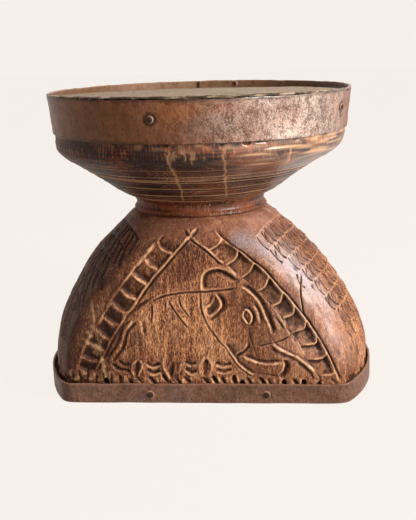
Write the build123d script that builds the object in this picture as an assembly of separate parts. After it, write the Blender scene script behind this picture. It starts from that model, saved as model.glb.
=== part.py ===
"""Carved wooden stool: one turned and carved block bound by two iron bands.

Millimetres, +Z up, front towards -Y.  The origin is on the floor, at the centre of the foot.
"""
from build123d import *
from math import asin, atan2, cos, degrees, radians, sin, sqrt, tan
import os

# ---------------------------------------------------------------- driving dimensions
# foot: a round dome, cut by a flat at the front and one at the back
foot_radius = 190.5          # wood, at the floor
foot_depth = 218.4           # wood, flat to flat at the floor
foot_wall_height = 36.0      # the sides stand upright up to here
shoulder_inset = 23.0        # how far the dome has drawn in at its shoulder
shoulder_height = 105.0
haunch_inset = 56.0
haunch_height = 155.0
dome_height = 203.0
dome_top_slope = 42.0        # degrees from level
ledge_width = 6.5            # round the foot of the neck, outside its bead
ledge_rise = 3.6             # the ledge slopes up to the neck
flat_lean = 2.5              # degrees that each flat leans inwards
ridge_radius = 22.0          # worn edge between a flat and the dome
floor_edge = 2.0             # worn edge under the foot

# neck and bowl, turned about their own axis, a little off the foot's centre
bowl_offset = -5.0           # along X
neck_bead_radius = 78.5
neck_bead_height = 210.0     # middle of the bead, above the floor
neck_bead_size = 5.0
neck_radius = 74.5
bowl_start_height = 218.0    # where the neck would meet the slope of the bowl
neck_cove_radius = 7.0
bowl_middle_radius = 119.0   # on the slope
bowl_middle_height = 251.5
bowl_swell_radius = 240.0    # rounding of the slope at its middle
bowl_corner_height = 281.0   # where the slope would meet the upright rim
bowl_corner_radius = 20.0
groove_width = 4.0           # of the V-shaped turned grooves round the slope
groove_depth = 1.3
groove_shares = (0.10, 0.20, 0.375, 0.55, 0.62)   # places along the slope, from neck to rim
cut_proud = 1.0              # how far a cutting tool starts outside the wood

# iron band round the rim
rim_band_top = 346.0         # above the floor
rim_band_height = 44.5
rim_band_radius = 175.0      # outside, at its top edge
rim_band_taper = 4.4         # how much less at its lower edge
rim_band_wall = 3.0
rim_seam_angle = 95.0        # end of the inner layer, at the back; angles run from +X
rim_lap_angle = 26.0         # overlap of the two ends
rim_step_angle = 10.0        # over which the outer end steps out
band_fit = 0.3               # iron to wood
lap_fit = 0.2                # iron to iron, where the ends overlap

# seat: the top of the block, worn lower towards the back
seat_front_rise = 0.8        # above the band's top edge, at the front
seat_back_drop = 9.5         # below it, at the back
seat_edge = 1.5              # worn edge round the seat

# iron strap round the foot
strap_height = 23.0
strap_wall = 2.5
strap_side_gap = 3.0         # air between the strap and the wood at the two sides
strap_corner = 20.0          # outside, where a side turns into a flat
strap_lift = 0.5             # lower edge above the floor
strap_seam_x = -30.0         # end of the inner layer, at the back
strap_lap_length = 60.0
strap_step_length = 14.0

# nails and rivets
shank = 3.6                  # diameter
shank_fit = 0.15
head_fit = 0.05              # under a head
nail_length = 26.0
nail_tip = 6.0
rim_nail_head = 8.0          # diameter
rim_nail_rise = 2.2
rim_nail_drop = 19.5         # middle of the head below the band's top edge
rim_nail_angles = {"left": 168.5, "front": -101.5, "right": -22.5}
rim_rivet_head = 7.0
rim_rivet_rise = 1.8
rim_rivet_angle = 78.5
rim_rivet_drops = {"upper": 5.2, "lower": 34.0}
strap_nail_head = 10.0
strap_nail_rise = 1.6
strap_nail_height = 10.5     # above the floor
strap_nail_xs = {"left": -61.5, "right": 70.5}
lap_nail_xs = {"left": -17.0, "right": 17.0}

# carving: a panel on each flat, drawn along X and up its face from the floor
line_width = 2.2             # of a scored line
line_depth = 1.4
ladder_width = 16.5          # of a ladder's hollows
ladder_rail = 2.0            # wood left standing beside them, before the line
ladder_rung = 2.6            # wood left standing between two hollows
ladder_depth = 2.4           # at the deep end of a hollow
left_ladder = ((-38.5, 179.5), (-83, 127), (-111, 79), (-135.5, 39.5))   # middle line, from the top
right_ladder = ((17, 185), (66, 138), (109.5, 90.5), (139, 36))
left_hollows = 9
right_hollows = 8
petal_pitch = 39.5           # along the foot of the panel
petal_first = -77.0          # middle of the first petal
petal_height = 41.0
petal_length = 20.0
petal_width = 8.0
petal_count = 3
border_pitch = 15.0          # slanting cuts along the lower edge
border_height = 26.0
border_length = 10.0
border_width = 4.4
border_slant = 60.0          # degrees from level
border_half_run = 112.0

# level lines round the two sides: height, and degrees that each runs from the side's middle
side_lines = ((99, 29), (118, 32), (136, 35), (152, 38), (167, 42), (181, 47), (194, 52))
side_line_width = 2.0
side_line_depth = 1.2

# the elephant and the lines round it
panel_lines = {
    "left_tip": ((-3, 202), (-14, 190), (-26, 178)),
    "right_tip": ((-17, 201), (-6, 190), (6, 178)),
    "back": ((-66, 120), (-49, 126), (-31, 129), (0, 132)),
    "head": ((0, 132), (3, 149), (19, 158), (39, 148), (44, 139)),
    "trunk": ((44, 139), (65, 122), (77, 97), (80, 81)),
    "neck": ((0, 131), (1, 107), (13, 84), (32, 53), (59, 31)),
    "ear": ((17, 130), (23, 118), (18, 107), (8, 98)),
    "brow": ((52, 117), (63, 109), (63, 92)),
    "mouth": ((49, 73), (46, 65), (36, 56)),
    "tusk_top": ((44, 58), (62, 51), (90, 49)),
    "tusk_end": ((90, 49), (92, 42), (85, 33)),
    "lower_ridge": ((76, 71), (97, 57), (121, 40), (130, 24)),
    "hind": ((-76, 98), (-89, 85), (-95, 67), (-107, 51)),
    "tail": ((-75, 100), (-72, 91), (-70, 77)),
}
eye = (51, 101)              # middle
eye_size = (8, 15)

# ---------------------------------------------------------------- worked out from them
reach = 2.0 * (foot_radius + rim_band_radius)   # longer than any cut needs
shoulder_radius = foot_radius - shoulder_inset
haunch_radius = foot_radius - haunch_inset
dome_top_radius = neck_bead_radius + ledge_width
strap_side_radius = foot_radius + strap_side_gap + strap_wall   # outside
rim_lean = degrees(atan2(rim_band_taper, rim_band_height))
rim_band_foot = rim_band_top - rim_band_height
rim_wood_top = rim_band_radius - rim_band_wall - band_fit
rim_wood_foot = rim_wood_top - rim_band_taper
lap_step = rim_band_wall + lap_fit
rim_rivet_grip = rim_band_wall + lap_step
strap_depth = foot_depth + 2 * (band_fit + strap_wall)
bowl_axis = Pos(bowl_offset, 0, 0)


def about_axis(face):
    """A face drawn in the XZ plane, turned right round the Z axis."""
    return revolve(face, Axis.Z)


# ---------------------------------------------------------------- wooden block
def dome_side(inset=0):
    """The outline of the dome from its wall to its top, or the same drawn in by an inset."""
    return Spline(
        (foot_radius - inset, foot_wall_height),
        (shoulder_radius - inset, shoulder_height),
        (haunch_radius - inset, haunch_height),
        (dome_top_radius - inset, dome_height),
        tangents=[(0, 1), (-cos(radians(dome_top_slope)), sin(radians(dome_top_slope)))],
    )


def make_dome():
    """The foot: a dome with two flats and rounded ridges."""
    side = dome_side()
    rest = Polyline(
        (dome_top_radius, dome_height),
        (neck_radius, dome_height + ledge_rise),
        (0, dome_height + ledge_rise),
        (0, 0),
        (foot_radius, 0),
        (foot_radius, foot_wall_height),
    )
    dome = about_axis(Plane.XZ * make_face([side, rest]))
    half = foot_depth / 2
    lean_in = dome_height * tan(radians(flat_lean))
    flats = Polygon(
        (-half, 0), (half, 0), (half - lean_in, dome_height), (lean_in - half, dome_height),
        align=None,
    )
    dome &= extrude(Plane.YZ * flats, reach, both=True)
    ridges = [edge for edge in dome.edges() if is_ridge(edge)]
    dome = fillet(ridges, ridge_radius)
    return chamfer(dome.edges().group_by(Axis.Z)[0], floor_edge)


def is_ridge(edge):
    """True for an edge between a flat and the round of the dome."""
    low = edge.bounding_box().min.Z
    high = edge.bounding_box().max.Z
    return high - low > floor_edge


# ---------------------------------------------------------------- carving
def panel_plane(proud=0):
    """The front flat, with its origin at the middle of its foot and Z facing out."""
    lean = radians(flat_lean)
    out = (0, -cos(lean), sin(lean))
    return Plane(origin=(0, -foot_depth / 2, 0), x_dir=(1, 0, 0), z_dir=out).offset(proud)


def scored_line(points):
    """A ribbon drawn on the panel along a smooth line."""
    return trace(Spline(*points), line_width=line_width)


def ladder_line(points, side):
    """The scored line along one side of a ladder: 1 is on the left going down, -1 on the right."""
    middle = Spline(*points)
    away = side * (ladder_width / 2 + ladder_rail + line_width / 2)
    spots = []
    for share in (0, 0.25, 0.5, 0.75, 1):
        spot, along = middle @ share, middle % share
        spots.append((spot.X - away * along.Y, spot.Y + away * along.X))
    return scored_line(spots)


def petal(middle_x):
    """A pointed leaf that stands upright: the shape that two arcs enclose."""
    low, high = petal_height - petal_length / 2, petal_height + petal_length / 2
    left = ThreePointArc((middle_x, low), (middle_x - petal_width / 2, petal_height), (middle_x, high))
    right = ThreePointArc((middle_x, high), (middle_x + petal_width / 2, petal_height), (middle_x, low))
    return make_face([left, right])


def lozenge():
    """One slanting cut of the border, its middle at the origin."""
    length, width = border_length / 2, border_width / 2
    return Rot(0, 0, -border_slant) * Polygon((-length, 0), (0, -width), (length, 0), (0, width), align=None)


def flat_cuts():
    """Everything on the panel that is cut to one depth."""
    shapes = [scored_line(points) for points in panel_lines.values()]
    shapes += [ladder_line(points, side) for points in (left_ladder, right_ladder) for side in (1, -1)]
    shapes.append(Pos(*eye) * Ellipse(eye_size[0] / 2, eye_size[1] / 2))
    shapes += [petal(petal_first + number * petal_pitch) for number in range(petal_count)]
    for number in range(int(2 * border_half_run / border_pitch) + 1):
        shapes.append(Pos(number * border_pitch - border_half_run, border_height) * lozenge())
    return Sketch() + shapes


def ladder_hollow(length):
    """A wedge whose floor falls from the origin along X to its full depth."""
    side = Polygon((0, cut_proud), (length, cut_proud), (length, -ladder_depth), (0, 0), align=None)
    return extrude(Plane.XZ * side, ladder_width / 2, both=True)


def ladder(points, hollows, deep_end):
    """Hollows down a leaning band, each deepest at its lower end (1) or at its upper one (-1)."""
    middle = Spline(*points)
    pitch = middle.length / hollows
    first = 0 if deep_end > 0 else 1
    cuts = []
    for number in range(first, hollows + first):
        share = number / hollows
        spot, along = middle @ share, (middle % share) * deep_end
        start = Plane(origin=(spot.X, spot.Y, 0), x_dir=(along.X, along.Y, 0), z_dir=(0, 0, 1))
        cuts.append(start * Pos(ladder_rung / 2, 0, 0) * ladder_hollow(pitch - ladder_rung))
    return cuts


def make_panel_cuts():
    """What is cut out of the front flat."""
    lines = extrude(panel_plane(cut_proud) * flat_cuts(), -line_depth - cut_proud)
    hollows = ladder(left_ladder, left_hollows, 1) + ladder(right_ladder, right_hollows, -1)
    return [lines] + [panel_plane().location * hollow for hollow in hollows]


def make_side_lines():
    """Level grooves round the two sides of the dome."""
    rest = Polyline(
        (dome_top_radius - side_line_depth, dome_height),
        (0, dome_height),
        (0, 0),
        (foot_radius - side_line_depth, 0),
        (foot_radius - side_line_depth, foot_wall_height),
    )
    core = about_axis(Plane.XZ * make_face([dome_side(side_line_depth), rest]))
    cuts = []
    for height, end in side_lines:
        face = Pos(reach / 2, height) * Rectangle(reach, side_line_width)
        for middle in (0, 180):
            sweep_round = revolve(Plane.XZ * face, Axis.Z, 2 * end)
            cuts.append(Rot(0, 0, middle - end) * sweep_round - core)
    return cuts


def bowl_slope(share):
    """A point on the slope of the bowl: 0 at the neck, 1 at the rim."""
    start = Vector(neck_radius, bowl_start_height)
    middle = Vector(bowl_middle_radius, bowl_middle_height)
    corner = Vector(rim_wood_foot, bowl_corner_height)
    middle_share = (middle - start).length / ((middle - start).length + (corner - middle).length)
    if share < middle_share:
        return start + (middle - start) * (share / middle_share)
    return middle + (corner - middle) * ((share - middle_share) / (1 - middle_share))


def turned_groove():
    """A V that points into the slope, its middle on the origin."""
    half = groove_width / 2 * (1 + cut_proud / groove_depth)
    return Polygon((-half, -cut_proud), (half, -cut_proud), (0, groove_depth), align=None)


def make_bowl():
    """Neck, bowl and rim, turned on one axis, down to the inside of the dome."""
    outline = FilletPolyline(
        (neck_radius, neck_bead_height),
        (neck_radius, bowl_start_height),
        (bowl_middle_radius, bowl_middle_height),
        (rim_wood_foot, bowl_corner_height),
        (rim_wood_foot, rim_band_foot),
        radius=[neck_cove_radius, bowl_swell_radius, bowl_corner_radius],
    )
    top = rim_band_top + 2 * seat_edge
    flare = rim_band_taper * (top - rim_band_foot) / rim_band_height
    rest = Polyline(
        (rim_wood_foot, rim_band_foot),
        (rim_wood_foot + flare, top),
        (0, top),
        (0, dome_height - neck_bead_size),
        (neck_radius, dome_height - neck_bead_size),
        (neck_radius, neck_bead_height),
    )
    bowl = about_axis(Plane.XZ * make_face([outline, rest]))
    bead_centre = Pos(neck_bead_radius - neck_bead_size / 2, neck_bead_height)
    bowl += about_axis(Plane.XZ * bead_centre * Circle(neck_bead_size / 2))
    slope = degrees(atan2(bowl_corner_height - bowl_start_height, rim_wood_foot - neck_radius))
    for share in groove_shares:
        point = bowl_slope(share)
        bowl -= about_axis(Plane.XZ * Pos(point.X, point.Y) * Rot(0, 0, slope) * turned_groove())
    return bowl


def seat_plane():
    """The worn top of the block: it falls from front to back."""
    fall = atan2(seat_front_rise + seat_back_drop, 2 * rim_wood_top)
    middle = rim_band_top + (seat_front_rise - seat_back_drop) / 2
    return Plane(origin=(0, 0, middle), z_dir=(0, sin(fall), cos(fall)))


def on_seat(edge):
    """True for an edge that lies in the seat plane."""
    return all(abs(seat_plane().to_local_coords(edge @ share).Z) < 0.01 for share in (0, 0.5))


def make_block():
    """The whole wooden block, with the holes that its nails fill."""
    bowl = make_bowl() - seat_plane() * Pos(0, 0, reach / 2) * Box(reach, reach, reach)
    bowl = chamfer(bowl.edges().filter_by(on_seat), seat_edge)
    block = make_dome() - make_side_lines()
    for turn in (0, 180):
        block -= [Rot(0, 0, turn) * cut for cut in make_panel_cuts()]
    block += bowl_axis * bowl
    for place in (*rim_nail_places().values(), *strap_nail_places().values()):
        block -= place * shank_hole(nail_length)
    for place in rim_rivet_places().values():
        block -= place * rivet_pocket()
    return block


# ---------------------------------------------------------------- iron bands
def bent_strip(path, wall, height, lean):
    """A flat iron strip bent along a level path, which runs through its middle."""
    outwards = (path % 0).cross(Vector(0, 0, -1))
    start = Plane(origin=path @ 0, x_dir=outwards, z_dir=path % 0)
    return sweep(start * Rot(0, 0, lean) * Rectangle(wall, height), path)


def step_out(first, second):
    """The short bend by which the outer end of a strip passes over its inner end."""
    return Spline(first @ 1, second @ 0, tangents=[first % 1, second % 0])


def make_rim_band():
    """Tapered hoop, bent round clockwise seen from above; its outer end laps the inner one."""
    radius = rim_band_radius - (rim_band_taper + rim_band_wall) / 2
    inner = CenterArc((0, 0), radius, rim_seam_angle, rim_step_angle - 360)
    outer = CenterArc((0, 0), radius + lap_step, rim_seam_angle, -rim_lap_angle)
    path = Wire([inner, step_out(inner, outer), outer])
    middle = rim_band_top - rim_band_height / 2
    return bowl_axis * Pos(0, 0, middle) * bent_strip(path, rim_band_wall, rim_band_height, -rim_lean)


def strap_corner_points(half, side_radius, corner):
    """Centre of the corner's arc, and its angle where it meets the side."""
    centre_y = half - corner
    centre_x = sqrt((side_radius - corner) ** 2 - centre_y**2)
    return centre_x, centre_y, degrees(atan2(centre_y, centre_x))


def make_foot_strap():
    """Strap with two straight runs and two bulged sides; its ends overlap at the back."""
    half = (strap_depth - strap_wall) / 2
    side_radius = strap_side_radius - strap_wall / 2
    corner = strap_corner - strap_wall / 2
    x, y, meet = strap_corner_points(half, side_radius, corner)
    outer_y = half + strap_wall + lap_fit
    inner = Wire([
        Line((strap_seam_x, half), (x, half)),
        CenterArc((x, y), corner, 90, meet - 90),
        CenterArc((0, 0), side_radius, meet, -2 * meet),
        CenterArc((x, -y), corner, -meet, meet - 90),
        Line((x, -half), (-x, -half)),
        CenterArc((-x, -y), corner, -90, meet - 90),
        CenterArc((0, 0), side_radius, meet - 180, -2 * meet),
        CenterArc((-x, y), corner, 180 - meet, meet - 90),
        Line((-x, half), (strap_seam_x - strap_step_length, half)),
    ])
    outer = Line((strap_seam_x, outer_y), (strap_seam_x + strap_lap_length, outer_y))
    path = Wire([*inner.edges(), step_out(inner, outer), outer])
    middle = strap_lift + strap_height / 2
    return Pos(0, 0, middle) * bent_strip(path, strap_wall, strap_height, 0)


# ---------------------------------------------------------------- nails and rivets
def domed_head(diameter, rise):
    """A hammered head, its flat side just clear of the origin and its dome towards +Z."""
    radius = (diameter**2 / 4 + rise**2) / (2 * rise)
    spread = degrees(asin(diameter / 2 / radius))
    over = CenterArc((0, rise - radius), radius, 90, -spread)
    head = about_axis(Plane.XZ * make_face([over, Polyline(over @ 1, (0, 0), (0, rise))]))
    return Pos(0, 0, head_fit) * head


def nail(diameter, rise):
    """A nail with its head's flat side at the origin and its point towards -Z."""
    point = nail_length - nail_tip
    shaft = Pos(0, 0, (head_fit - point) / 2) * Cylinder(shank / 2, point + head_fit)
    tip = Pos(0, 0, -point - nail_tip / 2) * Rot(180, 0, 0) * Cone(shank / 2, shank / 12, nail_tip)
    return domed_head(diameter, rise) + shaft + tip


def rivet(diameter, rise, grip):
    """A rivet through a given thickness, with a head outside and one inside."""
    hollow = 2 * shank_fit   # the inside of the band is hollow under the inside head
    shaft = Pos(0, 0, -(grip + hollow - head_fit) / 2) * Cylinder(shank / 2, grip + hollow + head_fit)
    inside = Pos(0, 0, head_fit - grip - hollow) * Rot(180, 0, 0) * domed_head(diameter, rise)
    return domed_head(diameter, rise) + shaft + inside


def shank_hole(depth):
    """What is bored away for a shank that enters at the origin and points towards -Z."""
    return Pos(0, 0, -depth / 2) * Cylinder(shank / 2 + shank_fit, depth + 2 * shank)


def rivet_pocket():
    """The hollow in the wood that clears the inside head of a rivet."""
    depth = rim_rivet_grip + 2 * rim_rivet_rise
    return Pos(0, 0, -depth / 2) * Cylinder(rim_rivet_head / 2 + band_fit, depth)


def on_rim_band(angle, drop, proud):
    """Place on the outside of the rim band, facing out; proud lifts it over a lap."""
    turn, lean = radians(angle), radians(rim_lean)
    radius = rim_band_radius - drop * tan(lean) + proud
    out = (cos(turn) * cos(lean), sin(turn) * cos(lean), -sin(lean))
    spot = (radius * cos(turn), radius * sin(turn), rim_band_top - drop)
    return bowl_axis * Plane(origin=spot, z_dir=out).location


def rim_nail_places():
    """Where the nails enter the rim band."""
    return {side: on_rim_band(angle, rim_nail_drop, 0) for side, angle in rim_nail_angles.items()}


def rim_rivet_places():
    """Where the rivets enter the lap of the rim band."""
    return {
        level: on_rim_band(rim_rivet_angle, drop, lap_step)
        for level, drop in rim_rivet_drops.items()
    }


def strap_nail_places():
    """Where the nails enter the front of the foot strap, and its lap at the back."""
    front = -strap_depth / 2
    back = strap_depth / 2 + strap_wall + lap_fit
    places = {}
    for side, x in strap_nail_xs.items():
        places[f"strap_nail_{side}"] = Plane((x, front, strap_nail_height), z_dir=(0, -1, 0)).location
    for side, x in lap_nail_xs.items():
        places[f"strap_lap_nail_{side}"] = Plane((x, back, strap_nail_height), z_dir=(0, 1, 0)).location
    return places


# ---------------------------------------------------------------- the finished pieces
def make_pieces():
    """Every piece by name, in place."""
    band, strap = make_rim_band(), make_foot_strap()
    pieces = {"stool_block": make_block()}
    for side, place in rim_nail_places().items():
        band -= place * shank_hole(rim_band_wall)
        pieces[f"rim_nail_{side}"] = place * nail(rim_nail_head, rim_nail_rise)
    for level, place in rim_rivet_places().items():
        band -= place * shank_hole(rim_rivet_grip)
        pieces[f"rim_rivet_{level}"] = place * rivet(rim_rivet_head, rim_rivet_rise, rim_rivet_grip)
    for name, place in strap_nail_places().items():
        strap -= place * shank_hole(2 * strap_wall)
        pieces[name] = place * nail(strap_nail_head, strap_nail_rise)
    pieces["rim_band"] = band
    pieces["foot_strap"] = strap
    return pieces


os.makedirs("parts", exist_ok=True)
for name, piece in make_pieces().items():
    export_step(piece, f"parts/{name}.step")
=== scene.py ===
"""Looks for the carved stool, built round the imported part.

Shapes are worked out in millimetres, in the part's own frame: the origin is on the floor at the
centre of the foot, +Z is up and the front faces -Y.  Meshes are made in metres.
"""
from math import atan2, cos, hypot, pi, radians, sin, sqrt, tan

import bpy
import numpy as np
from mathutils import Matrix, Vector


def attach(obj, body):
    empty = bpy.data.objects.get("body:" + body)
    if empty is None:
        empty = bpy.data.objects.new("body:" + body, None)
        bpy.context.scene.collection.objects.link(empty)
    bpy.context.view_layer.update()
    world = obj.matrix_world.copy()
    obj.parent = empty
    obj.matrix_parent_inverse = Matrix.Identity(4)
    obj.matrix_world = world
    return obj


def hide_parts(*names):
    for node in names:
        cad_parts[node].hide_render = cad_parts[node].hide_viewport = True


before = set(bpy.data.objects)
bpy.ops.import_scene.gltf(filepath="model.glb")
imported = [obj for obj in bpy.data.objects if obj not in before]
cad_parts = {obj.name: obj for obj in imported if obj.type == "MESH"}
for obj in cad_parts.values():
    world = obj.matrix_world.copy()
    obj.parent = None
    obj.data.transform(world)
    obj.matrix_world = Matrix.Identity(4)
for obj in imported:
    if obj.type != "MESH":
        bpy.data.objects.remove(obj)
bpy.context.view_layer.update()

MM = 0.001

# ---------------------------------------------------------------- sizes of the stool
BOWL_AXIS_X = -5.0
DOME_SIDE = ((190.5, 22), (190.5, 36), (187.5, 55), (180.5, 80), (167.8, 105), (152.5, 130), (134.5, 155),
             (110.5, 180), (92.5, 196), (85, 203))
FLANGE = ((85, 203), (81.5, 205.3), (78.6, 206.6), (76.2, 207.2), (75.6, 208.4))
FLAT_FRONT = 109.2           # wood's front face from the middle, at the floor
FLAT_LEAN = radians(2.5)
RIDGE_RADIUS = 24.0
NECK_AND_BOWL = ((75.4, 206.0), (75.8, 207.8), (77.9, 209.3), (78.6, 211.2), (77.6, 213.2), (75.9, 215.2),
                 (75.6, 218.5), (77.4, 223.0), (80.6, 226.2), (87.5, 229.4), (96.7, 234.6),
                 (116.9, 249.0), (138.5, 263.6), (157.0, 275.0), (165.2, 282.8), (167.8, 290.5),
                 (168.2, 300.0))
AXIS_DRIFT = ((0, 0.5), (55, 0.5), (105, -2), (155, -5), (190, -6.3), (211, -7), (240, -8.5), (264, -8.5),
              (284, -6.6), (296, -5), (400, -5))   # height, and where the wood's middle lies along X

BAND_TOP = 346.0
BAND_HEIGHT = 44.5
BAND_RADIUS = 175.0
BAND_TAPER = 4.4
BAND_WALL = 3.0
BAND_SEAM = 95.0             # degrees from +X
BAND_LAP = 26.0
BAND_STEP = 10.0
LAP_STEP = 3.2
SEAT_FRONT_RISE = 0.8
SEAT_BACK_DROP = 9.5

STRAP_HEIGHT = 23.0
STRAP_WALL = 2.5
STRAP_LIFT = 0.5
STRAP_FRONT = 112.0          # outside of the strap from the middle
STRAP_SIDE_RADIUS = 196.0
STRAP_CORNER = 20.0
STRAP_SEAM_X = -30.0
STRAP_LAP = 60.0
STRAP_STEP = 14.0
STRAP_LAP_STEP = 2.7

BAND_LEAN = atan2(BAND_TAPER, BAND_HEIGHT)

# nails and rivets: bearings in degrees from +X, and drops from the band's top
RIM_NAILS = {"left": 168.5, "front": -101.5, "right": -22.5}
RIM_NAIL_DROP = 19.5
RIM_RIVETS = {"upper": 5.2, "lower": 34.0}
RIM_RIVET_BEARING = 78.5
STRAP_NAILS = {"left": -61.5, "right": 70.5}         # places along X
STRAP_LAP_NAILS = {"left": -17.0, "right": 17.0}
STRAP_NAIL_HEIGHT = 10.5
# diameter of a head, its rise, and how far its shank goes in
RIM_NAIL_SIZE = (8.0, 2.2, 9.0)
RIM_RIVET_SIZE = (7.0, 1.8, BAND_WALL + LAP_STEP)
STRAP_NAIL_SIZE = (10.0, 1.6, 9.0)

GLINT = radians(-52)         # where round things mirror the window


# ---------------------------------------------------------------- noise and small sums
# large odd numbers that scatter whole-number places, and the lowest 32 bits
SCATTER = (374761393, 668265263, 1103515245)
SEED_SCATTER = 69069
LAST_SCATTER = 1274126177
LOW_BITS = 0xFFFFFFFF


def hashed(cell, seed):
    """A number from -1 to 1 for each whole-number place."""
    mixed = (cell * SCATTER).sum(axis=-1) + seed * SEED_SCATTER
    mixed = mixed & LOW_BITS
    mixed = ((mixed ^ (mixed >> 13)) * LAST_SCATTER) & LOW_BITS
    return ((mixed ^ (mixed >> 16)) & 0xFFFF) / 32767.5 - 1


def noise(points, size, seed):
    """Smooth noise from -1 to 1; size is that of a lump, one number or one for each axis."""
    place = points / np.asarray(size, float)
    low = np.floor(place)
    share = place - low
    share = share * share * (3 - 2 * share)
    low = low.astype(np.int64)
    total = np.zeros(points.shape[:-1])
    for corner in np.ndindex(2, 2, 2):
        weight = np.prod(np.where(corner, share, 1 - share), axis=-1)
        total += weight * hashed(low + np.array(corner), seed)
    return total


def chances(cells, seed):
    """A number from -1 to 1 for each cell named, each time the same."""
    return [float(value) for value in hashed(np.array(cells), seed)]


def unit(value):
    """The value, held between 0 and 1."""
    return np.clip(value, 0, 1)


def smooth(value, low, high):
    """0 below low and 1 above high, with an easy curve between; low may be the larger one."""
    share = unit((value - low) / (high - low))
    return share * share * (3 - 2 * share)


def through(points, steps=6):
    """A curve through given points, as closer ones."""
    points = np.asarray(points, float)
    ends = np.vstack([2 * points[0] - points[1], points, 2 * points[-1] - points[-2]])
    share = (np.arange(steps) / steps)[:, None]
    runs = []
    for a, b, c, d in zip(ends, ends[1:], ends[2:], ends[3:]):
        runs.append(b + 0.5 * share * (c - a + share * (2 * a - 5 * b + 4 * c - d
                                                       + share * (3 * (b - c) + d - a))))
    return np.vstack([*runs, points[-1:]])


def even(points, spacing):
    """The same line with points at an even spacing."""
    gaps = np.hypot(*np.diff(points, axis=0).T)
    run = np.concatenate([[0], np.cumsum(gaps)])
    at = np.linspace(0, run[-1], max(2, int(round(run[-1] / spacing)) + 1))
    return np.stack([np.interp(at, run, points[:, axis]) for axis in range(points.shape[1])], axis=-1)


def blurred(field, rows, columns):
    """A grid of heights, softened; its columns run right round."""
    for axis, count in ((0, rows), (1, columns)):
        for _ in range(count):
            if axis:
                before, after = np.roll(field, 1, 1), np.roll(field, -1, 1)
            else:
                before = np.vstack([field[:1], field[:-1]])
                after = np.vstack([field[1:], field[-1:]])
            field = (before + 2 * field + after) / 4
    return field


def drift(height):
    """Where the middle of the wood lies along X at a height."""
    heights, places = zip(*AXIS_DRIFT)
    return np.interp(height, heights, places)


def from_glint(turn):
    """0 where a round thing mirrors the window, 1 on its far side."""
    return np.abs(np.sin((turn - GLINT) / 2))


# ---------------------------------------------------------------- meshes
def skin(name, loops, material, marks=None):
    """A closed mesh over a stack of closed loops, with its two ends filled; loops in millimetres."""
    count, around = loops.shape[:2]
    ends = loops[[0, -1]].mean(axis=1)
    points = np.concatenate([loops.reshape(-1, 3), ends]) * MM
    here = np.arange(count * around).reshape(count, around)
    after = np.roll(here, -1, axis=1)
    quads = np.stack([here[:-1], after[:-1], after[1:], here[1:]], axis=-1).reshape(-1, 4)
    first, last = count * around, count * around + 1
    fans = [np.stack([after[0], here[0], np.full(around, first)], axis=-1),
            np.stack([here[-1], after[-1], np.full(around, last)], axis=-1)]
    corners = [quads, *fans]
    a, b, c = (points[quads[:, i]] for i in (0, 1, 2))
    if np.einsum("ij,ij->i", a, np.cross(b, c)).sum() < 0:
        corners = [faces[:, ::-1] for faces in corners]
    mesh = bpy.data.meshes.new(name)
    mesh.from_pydata(points.tolist(), [], [face for faces in corners for face in faces.tolist()])
    mesh.polygons.foreach_set("use_smooth", np.ones(len(mesh.polygons), bool))
    for mark, values in (marks or {}).items():
        layer = mesh.attributes.new(mark, "FLOAT", "POINT")
        values = np.concatenate([values.ravel(), values[[0, -1]].mean(axis=1)])
        layer.data.foreach_set("value", values.astype(np.float32))
    mesh.materials.append(material)
    piece = bpy.data.objects.new(name, mesh)
    bpy.context.scene.collection.objects.link(piece)
    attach(piece, "root")
    return piece


def outwards(loops):
    """The surface's direction at each point of a stack of closed loops."""
    down = np.gradient(loops, axis=0)
    across = (np.roll(loops, -1, axis=1) - np.roll(loops, 1, axis=1)) / 2
    normal = np.cross(across, down)
    return normal / np.maximum(np.linalg.norm(normal, axis=-1, keepdims=True), 1e-9)


def edge_and_hollow(height, edge_scale=0.3, hollow_scale=0.4):
    """How far each point stands proud of those round it, or is sunk among them."""
    stand = height - blurred(height, 4, 4)
    return unit(stand / edge_scale), unit(-stand / hollow_scale)


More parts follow.
